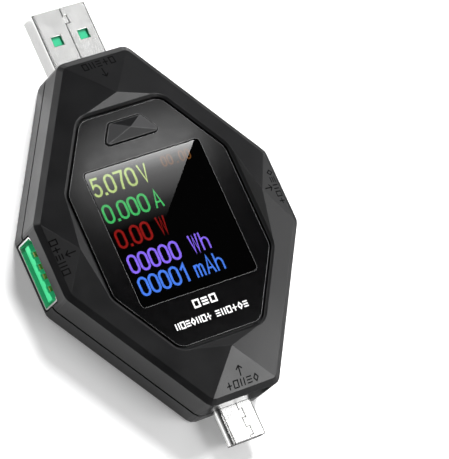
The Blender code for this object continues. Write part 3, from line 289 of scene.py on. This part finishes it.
def panel_finish():
    """Hard-coated acrylic: near mirror, very faint orange peel, hairline scratches, light dust haze and a
    painted highlight along its edges.
    """
    g = Graph("panel_gloss_black", (0.0020, 0.0020, 0.0022), 0.14, specular=0.45)
    peel = g.noise(520.0, 2.0)
    hair = g.noise(1.0, 4.0, g.stretched((180.0, 3600.0, 300.0)))
    tone = g.blend(g.spread(peel, 0.0, 1.0), (0.0008, 0.0008, 0.0009), (0.0015, 0.0015, 0.0017))
    # Painted highlight: a light grey line along the panel's edges.
    painted_edge_highlight = g.edges(0.14 * MM, 0.80, 0.97)
    g.link(g.blend(painted_edge_highlight, tone, (0.62, 0.62, 0.63)), g.shader.inputs["Base Color"])
    g.link(g.math("ADD", g.spread(peel, 0.125, 0.150), g.spread(hair, 0.0, 0.02, 0.5, 0.8)),
           g.shader.inputs["Roughness"])
    g.bump((peel, 1e-6), (hair, 0.3e-6))
    return g.material


def window_finish():
    """Polished smoked pane with the slightest waviness."""
    g = Graph("window_clear", (WINDOW_TINT, WINDOW_TINT, WINDOW_TINT), 0.0, transmission=1.0)
    wave = g.noise(120.0, 1.0)
    g.link(g.blend(g.spread(wave, 0.0, 1.0), (0.98 * WINDOW_TINT,) * 3, (1.02 * WINDOW_TINT,) * 3),
           g.shader.inputs["Base Color"])
    g.set("IOR", 1.49)
    return g.material


def display_finish():
    """Unlit display cell: almost black with a faint cell grid and a violet cast."""
    g = Graph("display_black", (0.002, 0.002, 0.0025), 0.42, specular=0.2)
    grid = g.noise(5200.0, 1.0)
    g.link(g.blend(g.spread(grid, 0.0, 1.0), (0.0015, 0.0015, 0.0020), (0.0030, 0.0028, 0.0040)),
           g.shader.inputs["Base Color"])
    g.bump((grid, 1e-6))
    return g.material


def board_finish():
    """Solder mask over copper: buried tracks show as lighter, slightly raised lines."""
    g = Graph("solder_mask", (0.015, 0.13, 0.06), 0.34, coat=0.3)
    tracks = g.node("ShaderNodeTexBrick")
    tracks.inputs["Scale"].default_value = 420.0
    tracks.inputs["Mortar Size"].default_value = 0.035
    g.link(g.place, tracks.inputs["Vector"])
    speckle = g.noise(2600.0, 3.0)
    g.link(g.blend(tracks.outputs["Fac"], (0.012, 0.11, 0.05), (0.03, 0.24, 0.10)),
           g.shader.inputs["Base Color"])
    g.link(g.spread(speckle, 0.28, 0.42), g.shader.inputs["Roughness"])
    g.bump((tracks.outputs["Fac"], 25e-6), (speckle, 3e-6))
    return g.material


PANEL = panel_finish()
WINDOW = window_finish()
DISPLAY = display_finish()
BOARD = board_finish()

FINISHES = {
    "front_cover": CASE, "rear_cover": CASE, "button_cap": BUTTON, "screen_panel": PANEL,
    "display_window": WINDOW, "lcd_frame": WHITE, "lcd_backlight": WHITE, "lcd_glass": DISPLAY,
    "lcd_top_polarizer": DISPLAY, "lcd_foam_pad": FOAM, "lcd_flex_cable": AMBER, "lcd_connector": WHITE,
    "main_board": BOARD, "controller_chip": CHIP, "memory_chip": CHIP, "voltage_regulator": CHIP,
    "load_switch": CHIP, "current_shunt": CERAMIC, "crystal": STEEL, "switch_body": CHIP,
    "switch_plunger": WHITE, "usb_a_plug_shell": BRIGHT, "usb_a_plug_insulator": GREEN_PAINTED_DARKER,
    "usb_a_socket_shell": BRIGHT_ACROSS, "usb_a_socket_tongue": GREEN, "usb_c_plug_shell": BRIGHT,
    "usb_c_plug_liner": DARK_LINER, "usb_c_socket_shell": BRIGHT_ACROSS, "usb_c_socket_tongue": DARK_LINER,
}
FINISHES_BY_START = {
    "case_screw": STEEL, "filter_capacitor": TANTALUM, "usb_a_plug_contact": GOLD,
    "usb_a_socket_contact": GOLD,
}
for name, part in nodes.items():
    starts = [finish for start, finish in FINISHES_BY_START.items() if name.startswith(start)]
    part.data.materials.clear()
    part.data.materials.append(FINISHES[name] if name in FINISHES else starts[0])
    part.visible_diffuse = not name.startswith("usb_a_socket")      # no green tint on the floor


# ---------------------------------------------------------------- softened edges of the CAD pieces
def soften(name, width, segments=2, angle=4.0):
    """Joins the flats of a CAD piece and rounds its edges slightly, so that they catch the light."""
    part = nodes[name]
    weld = part.modifiers.new("weld", "WELD")
    weld.merge_threshold = 1e-6
    flats = part.modifiers.new("flats", "DECIMATE")
    flats.decimate_type = "DISSOLVE"
    flats.angle_limit = math.radians(0.6)
    edge = part.modifiers.new("edge", "BEVEL")
    edge.width = width
    edge.segments = segments
    edge.limit_method = "ANGLE"
    edge.angle_limit = math.radians(angle)
    edge.use_clamp_overlap = True
    edge.miter_outer = "MITER_SHARP"
    even = part.modifiers.new("even", "WEIGHTED_NORMAL")
    even.keep_sharp = False
    even.weight = 100


EDGE_WIDTHS = {
    "front_cover": 0.16 * MM, "rear_cover": 0.16 * MM, "button_cap": 0.10 * MM, "screen_panel": 0.12 * MM,
    "usb_a_plug_shell": 0.08 * MM, "usb_c_plug_shell": 0.05 * MM,
    "usb_a_socket_shell": 0.08 * MM, "usb_a_socket_tongue": 0.10 * MM, "usb_a_plug_insulator": 0.08 * MM,
    "usb_c_socket_shell": 0.04 * MM,
}
for name, width in EDGE_WIDTHS.items():
    soften(name, width)


# ---------------------------------------------------------------- display readings
def arc(centre_x, centre_y, radius_x, radius_y, start, end, steps=12):
    """Points along part of an ellipse, angles in degrees."""
    turn = [math.radians(start + (end - start) * i / steps) for i in range(steps + 1)]
    return [(centre_x + radius_x * math.cos(a), centre_y + radius_y * math.sin(a)) for a in turn]


ROUND_TOP = 0.27
ZERO = (arc(0.5, 1 - ROUND_TOP, 0.5, ROUND_TOP, 0, 180) + arc(0.5, ROUND_TOP, 0.5, ROUND_TOP, 180, 360)
        + [(1.0, 1 - ROUND_TOP)])
FIVE = [(0.93, 1.0), (0.20, 1.0), (0.12, 0.55)] + arc(0.46, 0.32, 0.50, 0.32, 130, -150, 16)
GLYPHS = {
    "0": (1.0, [ZERO]),
    "1": (0.55, [[(0.0, 0.74), (0.85, 0.98), (0.85, 0.0)]]),
    "5": (1.0, [FIVE]),
    "7": (1.0, [[(0.0, 1.0), (1.0, 1.0), (0.62, 0.45), (0.48, 0.0)]]),
    "V": (0.92, [[(0.0, 1.0), (0.5, 0.0), (1.0, 1.0)]]),
    "A": (0.92, [[(0.0, 0.0), (0.5, 1.0), (1.0, 0.0)], [(0.18, 0.30), (0.82, 0.30)]]),
    "W": (0.95, [[(0.0, 1.0), (0.24, 0.0), (0.5, 0.92), (0.76, 0.0), (1.0, 1.0)]]),
    "h": (0.85, [[(0.0, 1.0), (0.0, 0.0)],
                 [(0.0, 0.48)] + arc(0.5, 0.42, 0.5, 0.25, 150, 0, 8) + [(1.0, 0.0)]]),
    "m": (1.0, [[(0.0, 0.68), (0.0, 0.0)],
                [(0.0, 0.52)] + arc(0.27, 0.48, 0.23, 0.19, 150, 0, 6) + [(0.5, 0.0)],
                [(0.5, 0.52)] + arc(0.77, 0.48, 0.23, 0.19, 150, 0, 6) + [(1.0, 0.0)]]),
}


def stroke_faces(mesh, points, half, low, high):
    """Adds one stroke to a bmesh: a flat bar of even width with square ends and mitred corners."""
    closed = (Vector(points[0]) - Vector(points[-1])).length < 1e-7
    path = [Vector(p) for p in (points[:-1] if closed else points)]
    count = len(path)
    rings = []
    for i, point in enumerate(path):
        before = path[i - 1] if closed or i > 0 else point
        after = path[(i + 1) % count] if closed or i < count - 1 else point
        into = (point - before).normalized() if (point - before).length > 0 else None
        out = (after - point).normalized() if (after - point).length > 0 else None
        into, out = into or out, out or into
        along = (into + out).normalized()
        side = Vector((-along.y, along.x)) * half / max(0.45, along.dot(out))
        end = -half * 0.6 * out if not closed and i == 0 else Vector((0, 0))
        end = half * 0.6 * into if not closed and i == count - 1 else end
        rings.append([mesh.verts.new((*(point + end + side * s), z))
                      for s, z in ((1, low), (1, high), (-1, high), (-1, low))])
    pairs = list(zip(rings, rings[1:])) + ([(rings[-1], rings[0])] if closed else [])
    for first, second in pairs:
        for k in range(4):
            mesh.faces.new((first[k], first[(k + 1) % 4], second[(k + 1) % 4], second[k]))
    if not closed:
        mesh.faces.new(rings[0][::-1])
        mesh.faces.new(rings[-1])


def finish_piece(name, mesh, material, body="case"):
    """Turns a bmesh into a named piece that rides on a body."""
    bmesh.ops.recalc_face_normals(mesh, faces=mesh.faces)
    data = bpy.data.meshes.new(name)
    mesh.to_mesh(data)
    mesh.free()
    data.materials.append(material)
    piece = bpy.data.objects.new(name, data)
    scene.collection.objects.link(piece)
    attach(piece, body)
    return piece


DIGIT_WIDTH = 1.66 * MM         # between the centre lines of a digit's two sides
READING_THICKNESS = 0.05 * MM


def reading(name, groups, base, height, color, strength, half=0.23 * MM, width=DIGIT_WIDTH):
    """One line of the display. groups are (characters, left edge x) with a fixed pitch inside each."""
    mesh = bmesh.new()
    for characters, left, pitch in groups:
        for index, character in enumerate(characters):
            origin = Vector((left + index * pitch, BODY_Y + base))
            if character == ".":
                stroke_faces(mesh, [(origin.x, origin.y), (origin.x + half, origin.y)], 1.15 * half,
                             READING_Z, READING_Z + READING_THICKNESS)
                continue
            share, strokes = GLYPHS[character]
            for stroke in strokes:
                points = [(origin.x + x * width * share, origin.y + y * height) for x, y in stroke]
                stroke_faces(mesh, points, half, READING_Z, READING_Z + READING_THICKNESS)
    finish_piece(name, mesh, glowing(f"glow_{name}", color, strength))


DIGIT_PITCH = 2.28 * MM
DIGIT_HEIGHT = 3.36 * MM
THIN = 0.17 * MM
TIMER_DIGIT_HEIGHT = 1.9 * MM
TIMER_DIGIT_WIDTH = 0.85 * MM
TIMER_PITCH = 1.35 * MM
TIMER_HALF = 0.12 * MM

YELLOW_GREEN = (0.62, 0.82, 0.24)      # colours of the display's lines
GREEN_LIGHT = (0.06, 0.66, 0.16)
RED_LIGHT = (0.42, 0.014, 0.012)
VIOLET_LIGHT = (0.28, 0.16, 0.98)
BLUE_LIGHT = (0.075, 0.24, 0.95)
ORANGE_LIGHT = (0.34, 0.13, 0.03)

VOLTS_BASE = 8.82 * MM          # baselines above the middle of the case
AMPS_BASE = 3.38 * MM
WATTS_BASE = -1.85 * MM
WATTS_UNIT_BASE = -1.75 * MM
ENERGY_BASE = -7.05 * MM
ENERGY_UNIT_BASE = -7.0 * MM
CHARGE_BASE = -11.65 * MM
CHARGE_UNIT_BASE = -11.6 * MM
TIMER_BASE = 10.5 * MM

# After the colour come the strength and, where it is thinner than the digits, the half width of the stroke.
reading("reading_volts", [("5", -11.75 * MM, 0), (".", -9.5 * MM, 0), ("0", -8.72 * MM, 0),
                          ("7", -6.45 * MM, 0), ("0", -4.10 * MM, 0)],
        VOLTS_BASE, DIGIT_HEIGHT, YELLOW_GREEN, 0.95)
reading("reading_volts_unit", [("V", -1.22 * MM, 0)], VOLTS_BASE, DIGIT_HEIGHT, YELLOW_GREEN, 0.95, THIN)
reading("reading_amps", [("0", -11.70 * MM, 0), (".", -9.3 * MM, 0), ("000", -8.50 * MM, DIGIT_PITCH)],
        AMPS_BASE, DIGIT_HEIGHT, GREEN_LIGHT, 0.95)
reading("reading_amps_unit", [("A", -0.85 * MM, 0)], AMPS_BASE, DIGIT_HEIGHT, GREEN_LIGHT, 1.0, THIN)
reading("reading_watts", [("0", -11.40 * MM, 0), (".", -9.05 * MM, 0), ("00", -8.15 * MM, DIGIT_PITCH)],
        WATTS_BASE, DIGIT_HEIGHT, RED_LIGHT, 0.80)
reading("reading_watts_unit", [("W", -2.20 * MM, 0)], WATTS_UNIT_BASE, DIGIT_HEIGHT, RED_LIGHT, 0.70, THIN)
reading("reading_energy", [("00000", -11.20 * MM, DIGIT_PITCH)],
        ENERGY_BASE, DIGIT_HEIGHT, VIOLET_LIGHT, 1.30)
reading("reading_energy_unit", [("W", 2.45 * MM, 0), ("h", 4.72 * MM, 0)],
        ENERGY_UNIT_BASE, DIGIT_HEIGHT, VIOLET_LIGHT, 1.20, THIN)
reading("reading_charge", [("0000", -11.05 * MM, DIGIT_PITCH), ("1", -1.75 * MM, 0)],
        CHARGE_BASE, DIGIT_HEIGHT, BLUE_LIGHT, 1.25)
reading("reading_charge_unit", [("m", 1.10 * MM, 0), ("A", 3.50 * MM, 0), ("h", 5.70 * MM, 0)],
        CHARGE_UNIT_BASE, DIGIT_HEIGHT, BLUE_LIGHT, 1.20, THIN)
reading("reading_timer", [("00", 4.1 * MM, TIMER_PITCH), (".", 7.2 * MM, 0), ("00", 8.1 * MM, TIMER_PITCH)],
        TIMER_BASE, TIMER_DIGIT_HEIGHT, ORANGE_LIGHT, 0.62, TIMER_HALF, TIMER_DIGIT_WIDTH)


# ---------------------------------------------------------------- printed marks
INK_THICKNESS = 0.02 * MM

INK_WHITE = moulded("ink_white", (0.82, 0.82, 0.82), 0.50, grain=12000.0, grain_depth=2e-6)
# Black ink for the port marks; the same black also lays painted shade in the folds of the plugs' shells.
BLACK_INK_AND_SHADE = moulded("black_ink_and_painted_shade", (0.0015, 0.0015, 0.0016), 0.75, grain=12000.0, grain_depth=2e-6,
                    specular=0.1)

# Abstract marks stand in for the printed and engraved words; each is a few strokes in a unit cell.
MARKS = (
    [[(0.0, 0.0), (1.0, 0.0), (1.0, 1.0), (0.0, 1.0), (0.0, 0.0)]],
    [[(0.0, 0.08), (1.0, 0.08)], [(0.0, 0.5), (1.0, 0.5)], [(0.0, 0.92), (1.0, 0.92)]],
    [[(0.12, 0.0), (0.12, 1.0)], [(0.88, 0.0), (0.88, 1.0)]],
    [[(0.5, 0.0), (1.0, 0.5), (0.5, 1.0), (0.0, 0.5), (0.5, 0.0)]],
    [[(0.5, 0.0), (0.5, 1.0)], [(0.0, 0.5), (1.0, 0.5)]],
)


def mark_row(mesh, order, left, base, width, height, pitch, half, low, thickness=INK_THICKNESS):
    """A row of marks starting at left, base; order picks them from MARKS."""
    for index, pick in enumerate(order):
        for stroke in MARKS[pick]:
            points = [(left + index * pitch + x * width, base + y * height) for x, y in stroke]
            stroke_faces(mesh, points, half, low, low + thickness)


CAPTION_TOP_BASE = BODY_Y - 17.0 * MM
CAPTION_LOW_BASE = BODY_Y - 19.95 * MM
CAPTION_TOP_HALF = 0.165 * MM       # half widths of the two rows' strokes
CAPTION_LOW_HALF = 0.125 * MM
caption = bmesh.new()
mark_row(caption, (0, 1, 0), -2.75 * MM, CAPTION_TOP_BASE, 1.15 * MM, 1.35 * MM, 1.85 * MM,
         CAPTION_TOP_HALF, PANEL_Z)
mark_row(caption, (2, 0, 1, 3, 2, 0, 4), -8.2 * MM, CAPTION_LOW_BASE, 0.78 * MM, 1.15 * MM, 1.16 * MM,
         CAPTION_LOW_HALF, PANEL_Z)
mark_row(caption, (1, 2, 0, 4, 3, 1), 0.75 * MM, CAPTION_LOW_BASE, 0.82 * MM, 1.15 * MM, 1.24 * MM,
         CAPTION_LOW_HALF, PANEL_Z)
finish_piece("caption_marks", caption, INK_WHITE)

SEAM_SHADE_DROP = 0.05 * MM     # the shade lies this far down in the groove of the fold


def seam_shade(name, shell, width, path):
    """Painted shade: a dark strip laid in the fold of a plug's shell. path is (x, y) from the middle of the
    tip, y into the case.
    """
    low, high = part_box(shell)
    tip = high.y if high.y > 0 else low.y
    inward = -1.0 if high.y > 0 else 1.0
    middle = (low.x + high.x) / 2
    points = [(middle - inward * x * MM, tip + inward * y * MM) for x, y in path]
    mesh = bmesh.new()
    stroke_faces(mesh, points, width / 2, high.z - SEAM_SHADE_DROP - INK_THICKNESS,
                 high.z - SEAM_SHADE_DROP)
    finish_piece(name, mesh, BLACK_INK_AND_SHADE)


seam_shade("seam_shade_plug_a", "usb_a_plug_shell", 0.05 * MM,
           [(0.25, 0.10), (0.25, 1.80), (1.05, 1.70), (1.15, 3.30), (0.25, 3.20), (0.25, 11.9)])
seam_shade("seam_shade_plug_c", "usb_c_plug_shell", 0.08 * MM,
           [(-0.45, 0.10), (-0.45, 0.60), (-1.25, 0.50), (-1.25, 2.30), (-0.45, 2.20), (-0.45, 4.15),
            (-1.25, 4.05), (-1.25, 5.85), (-0.45, 5.75), (-0.45, 6.9)])

cover_mesh = nodes["front_cover"].data
cover_tree = BVHTree.FromPolygons(
    [v.co for v in cover_mesh.vertices], [p.vertices for p in cover_mesh.polygons])


def lay_marks(name, toward, reach, draw):
    """Dark marks laid on an end facet. toward points out of the case; draw fills a flat bmesh."""
    middle = Vector((0.0, BODY_Y, 0.0))
    above = middle + toward * reach + Vector((0.0, 0.0, 1.0))
    spot, normal, _, _ = cover_tree.ray_cast(above, Vector((0, 0, -1)))
    if normal.z < 0:
        normal = -normal
    across = normal.cross(toward).normalized()
    outward = across.cross(normal).normalized()
    mesh = bmesh.new()
    draw(mesh)
    frame_on_facet = Matrix((
        (-across.x, outward.x, normal.x, spot.x), (-across.y, outward.y, normal.y, spot.y),
        (-across.z, outward.z, normal.z, spot.z), (0.0, 0.0, 0.0, 1.0)))
    mesh.transform(frame_on_facet)
    finish_piece(name, mesh, BLACK_INK_AND_SHADE)


PORT_MARK_WIDTH = 0.95 * MM
PORT_MARK_HEIGHT = 1.35 * MM
PORT_MARK_PITCH = 1.48 * MM
PORT_MARK_BASE = 0.55 * MM
PORT_MARK_HALF = 0.12 * MM          # half width of the strokes
PORT_MARK_RISE = 0.01 * MM          # the strokes stand this far above and below the facet
ARROW_LENGTH = 1.9 * MM
ARROW_BARB = 0.6 * MM
PLUG_MARKS_REACH = 31.8 * MM        # from the middle of the case to the marks of a plug, and of a socket
SOCKET_MARKS_REACH = 23.0 * MM


def port_marks(order, inward):
    """A row of marks, and under it an arrow into or out of the meter. Drawn with +Y out of the case."""
    def draw(mesh):
        low, high = -PORT_MARK_RISE, PORT_MARK_RISE
        width = (len(order) - 1) * PORT_MARK_PITCH + PORT_MARK_WIDTH
        mark_row(mesh, order, -width / 2, PORT_MARK_BASE, PORT_MARK_WIDTH, PORT_MARK_HEIGHT,
                 PORT_MARK_PITCH, PORT_MARK_HALF, low, high - low)
        tip, tail = (-ARROW_LENGTH, 0.0) if inward else (0.0, -ARROW_LENGTH)
        back = ARROW_BARB if inward else -ARROW_BARB
        stroke_faces(mesh, [(0.0, tail), (0.0, tip)], PORT_MARK_HALF, low, high)
        stroke_faces(mesh, [(-ARROW_BARB, tip + back), (0.0, tip), (ARROW_BARB, tip + back)],
                     PORT_MARK_HALF, low, high)
    return draw


lay_marks("port_marks_plug_a", Vector((0, 1, 0)), PLUG_MARKS_REACH, port_marks((0, 2, 1, 4, 0), True))
lay_marks("port_marks_plug_c", Vector((0, -1, 0)), PLUG_MARKS_REACH, port_marks((3, 1, 2, 0, 4), True))
lay_marks("port_marks_socket_a", Vector((-1, 0, 0)), SOCKET_MARKS_REACH, port_marks((0, 2, 1, 4, 0), False))
lay_marks("port_marks_socket_c", Vector((1, 0, 0)), SOCKET_MARKS_REACH, port_marks((3, 1, 2, 0, 4), False))


# ---------------------------------------------------------------- floor, lights and reflecting cards
def add_stage(name, points, faces, material):
    data = bpy.data.meshes.new(name)
    data.from_pydata(points, [], faces)
    data.materials.append(material)
    made = bpy.data.objects.new(name, data)
    scene.collection.objects.link(made)
    return made


def white_glow(name, color, roughness, strength, specular=0.0):
    """A material that gives off some white light of its own."""
    g = Graph(name, color, roughness, specular=specular)
    g.set("Emission Color", (1.0, 1.0, 1.0, 1.0))
    g.set("Emission Strength", strength)
    return g


FLOOR_SIZE = 12.0               # half the floor's side
FLOOR_Z = cad_box[0][2] - 0.1 * MM
FLOOR_GLOW = 0.22
floor_graph = white_glow("floor_pale", (0.86, 0.86, 0.86), 0.75, FLOOR_GLOW, specular=0.1)
floor = add_stage("floor", [(-FLOOR_SIZE, -FLOOR_SIZE, FLOOR_Z), (FLOOR_SIZE, -FLOOR_SIZE, FLOOR_Z),
                            (FLOOR_SIZE, FLOOR_SIZE, FLOOR_Z), (-FLOOR_SIZE, FLOOR_SIZE, FLOOR_Z)],
                  [(0, 1, 2, 3)], floor_graph.material)

world = bpy.data.worlds.new("studio")
world.use_nodes = True
scene.world = world
sky = world.node_tree
sky_place = sky.nodes.new("ShaderNodeTexCoord").outputs["Generated"]
sky_axes = sky.nodes.new("ShaderNodeSeparateXYZ")
sky.links.new(sky_place, sky_axes.inputs[0])
sky_height = sky.nodes.new("ShaderNodeValToRGB")
sky_height.color_ramp.elements[0].position = 0.0
sky_height.color_ramp.elements[0].color = (0.95, 0.95, 0.95, 1.0)
sky_height.color_ramp.elements[1].position = 0.62
sky_height.color_ramp.elements[1].color = (0.030, 0.030, 0.030, 1.0)
middle_sky = sky_height.color_ramp.elements.new(0.28)
middle_sky.color = (0.42, 0.42, 0.42, 1.0)
sky.links.new(sky_axes.outputs["Z"], sky_height.inputs[0])
sky.links.new(sky_height.outputs[0], sky.nodes["Background"].inputs["Color"])


def aim(made, toward):
    made.rotation_mode = "QUATERNION"
    made.rotation_quaternion = (toward - made.location).to_track_quat("-Z", "Y")


SOFTBOX_DISTANCE = 0.9
SOFTBOX_TARGET = Vector((0.0, 0.0, 0.01))


def softbox(name, direction, width, height, radiance):
    """An area light of a chosen radiance, facing the meter from a direction."""
    data = bpy.data.lights.new(name, "AREA")
    data.shape = "RECTANGLE"
    data.size = width
    data.size_y = height
    data.energy = radiance * math.pi * width * height
    made = bpy.data.objects.new(name, data)
    scene.collection.objects.link(made)
    made.location = Vector(direction).normalized() * SOFTBOX_DISTANCE
    aim(made, SOFTBOX_TARGET)


softbox("key", (0.50, -0.44, 0.74), 0.42, 0.42, 6.6)
softbox("side", (0.88, -0.04, 0.50), 0.32, 0.30, 3.0)
softbox("top", (-0.10, 0.20, 0.97), 0.16, 0.16, 4.0)
softbox("back", (-0.45, 0.76, 0.50), 0.26, 0.20, 3.0)


def linked(name, members, state):
    """The objects a light works on: these alone with INCLUDE, all others with EXCLUDE."""
    group = bpy.data.collections.new(name)
    for member in members:
        group.objects.link(member)
    for entry in group.collection_objects:
        entry.light_linking.link_state = state
    return group


SUN_PLACE = (0.39, 0.59, 0.71)
SUN_ENERGY = 4.6


def sun(name, angle):
    """A soft sun that neither glossy surfaces nor the smoked pane show; angle is its size in degrees."""
    data = bpy.data.lights.new(name, "SUN")
    data.energy = SUN_ENERGY
    data.angle = math.radians(angle)
    made = bpy.data.objects.new(name, data)
    scene.collection.objects.link(made)
    made.location = SUN_PLACE
    made.visible_glossy = False
    made.visible_transmission = False
    aim(made, Vector((0.0, 0.0, 0.0)))
    return made


sun("sun_on_meter", 26.0).light_linking.receiver_collection = linked("all_but_floor", [floor], "EXCLUDE")
floor_sun = sun("sun_on_floor", 20.0)
floor_sun.light_linking.receiver_collection = linked("floor_alone", [floor], "INCLUDE")
floor_sun.light_linking.blocker_collection = linked(
    "all_but_plug_a", [part for name, part in nodes.items() if name.startswith("usb_a_plug")], "EXCLUDE")


def mirror_point(x, y, height):
    """Where a card must be, height above the window, to be seen in the window at x, y."""
    spot = Vector((x, BODY_Y + y, WINDOW_Z))
    ray = spot - CAMERA_PLACE
    return spot + Vector((ray.x, ray.y, -ray.z)) * (height / -ray.z)


def only_reflected(made):
    """Cards and flags are seen in glossy surfaces alone: they light nothing and shade nothing."""
    made.visible_camera = False
    made.visible_shadow = False
    made.visible_diffuse = False
    made.visible_transmission = False


CARD_COLUMNS = 6


def card(name, height, rows, strength):
    """A glowing card above the meter.

    rows are (y, left x, right x, left glow, right glow), in the window's plane.
    """
    points, glows = [], []
    for y, left, right, left_glow, right_glow in rows:
        for k in range(CARD_COLUMNS + 1):
            share = k / CARD_COLUMNS
            points.append(mirror_point(left + (right - left) * share, y, height))
            glows.append(left_glow + (right_glow - left_glow) * share)
    faces = []
    for r in range(len(rows) - 1):
        for k in range(CARD_COLUMNS):
            first = r * (CARD_COLUMNS + 1) + k
            faces.append((first, first + 1, first + CARD_COLUMNS + 2, first + CARD_COLUMNS + 1))
    g = white_glow(f"glow_{name}", (0.0, 0.0, 0.0), 1.0, strength)
    glow = g.node("ShaderNodeAttribute", attribute_name="glow").outputs["Fac"]
    g.link(g.math("MULTIPLY", glow, strength), g.shader.inputs["Emission Strength"])
    made = add_stage(name, points, faces, g.material)
    field = made.data.attributes.new("glow", "FLOAT", "POINT")
    field.data.foreach_set("value", glows)
    only_reflected(made)


DIAGONAL = 1.45 * MM            # the card's slanted edge is seen along y = x + this
GLARE_HEIGHT = 0.22
GLARE_FALL = (                  # glow of the card against the place it is seen at, Y
    (0.8, 0.0), (4.0, 0.045), (7.0, 0.14), (9.0, 0.21), (10.6, 0.31), (12.2, 0.56), (13.7, 1.0), (15.0, 0.55),
    (17.5, 0.3), (20.0, 0.1))
card("glare_card", GLARE_HEIGHT,
     [(y * MM, -13.3 * MM, y * MM - DIAGONAL, 0.70 * glow, glow) for y, glow in GLARE_FALL], 14.0)
card("plug_card_a", GLARE_HEIGHT,
     [(y * MM, -12 * MM, 24 * MM, 1.0, 0.62) for y in (33, 60)], 2.1)
card("plug_card_c", GLARE_HEIGHT,
     [(y * MM, -16 * MM, 16 * MM, 1.0, 1.0) for y in (-60, -33)], 3.4)


def facet_card(name, spot, direction, distance, half_size, strength):
    """A square card close to one facet, which faces that spot of the meter and lights its gloss."""
    toward = Vector(direction).normalized()
    middle = Vector(spot) + toward * distance
    across = toward.orthogonal().normalized() * half_size
    along = toward.cross(across)
    g = white_glow(f"glow_{name}", (0.0, 0.0, 0.0), 1.0, strength)
    points = [middle - across - along, middle + across - along,
              middle + across + along, middle - across + along]
    only_reflected(add_stage(name, points, [(0, 1, 2, 3)], g.material))


facet_card("corner_card", (12 * MM, BODY_Y - 29 * MM, 11 * MM), (0.70, -0.20, 0.68), 34 * MM, 9 * MM, 3.0)


FLAG_RISE = 0.5 * MM            # the flags lie this far above the floor


def flag(name, outline, glow=0.0):
    """A dark or grey sheet on the floor beside the meter, which tones down the walls that reflect it."""
    g = white_glow(f"sheet_{name}", (0.004, 0.004, 0.004), 0.9, glow)
    points = [(x * MM, BODY_Y + y * MM, FLOOR_Z + FLAG_RISE) for x, y in outline]
    only_reflected(add_stage(name, points, [tuple(range(len(points)))], g.material))


flag("flag_right", [(9, -36), (60, -60), (90, 0), (60, 60), (9, 37), (27, 8), (27, -8)])
flag("flag_plug_near", [(-6.3, 34), (-6.3, 48), (-9.5, 48), (-9.5, 34)], 0.72)
flag("flag_plug_far", [(-9.5, 34), (-9.5, 48), (-20, 48), (-20, 34)], 0.95)
flag("flag_end", [(-4, -36), (9, -36), (60, -60), (-4, -60)])
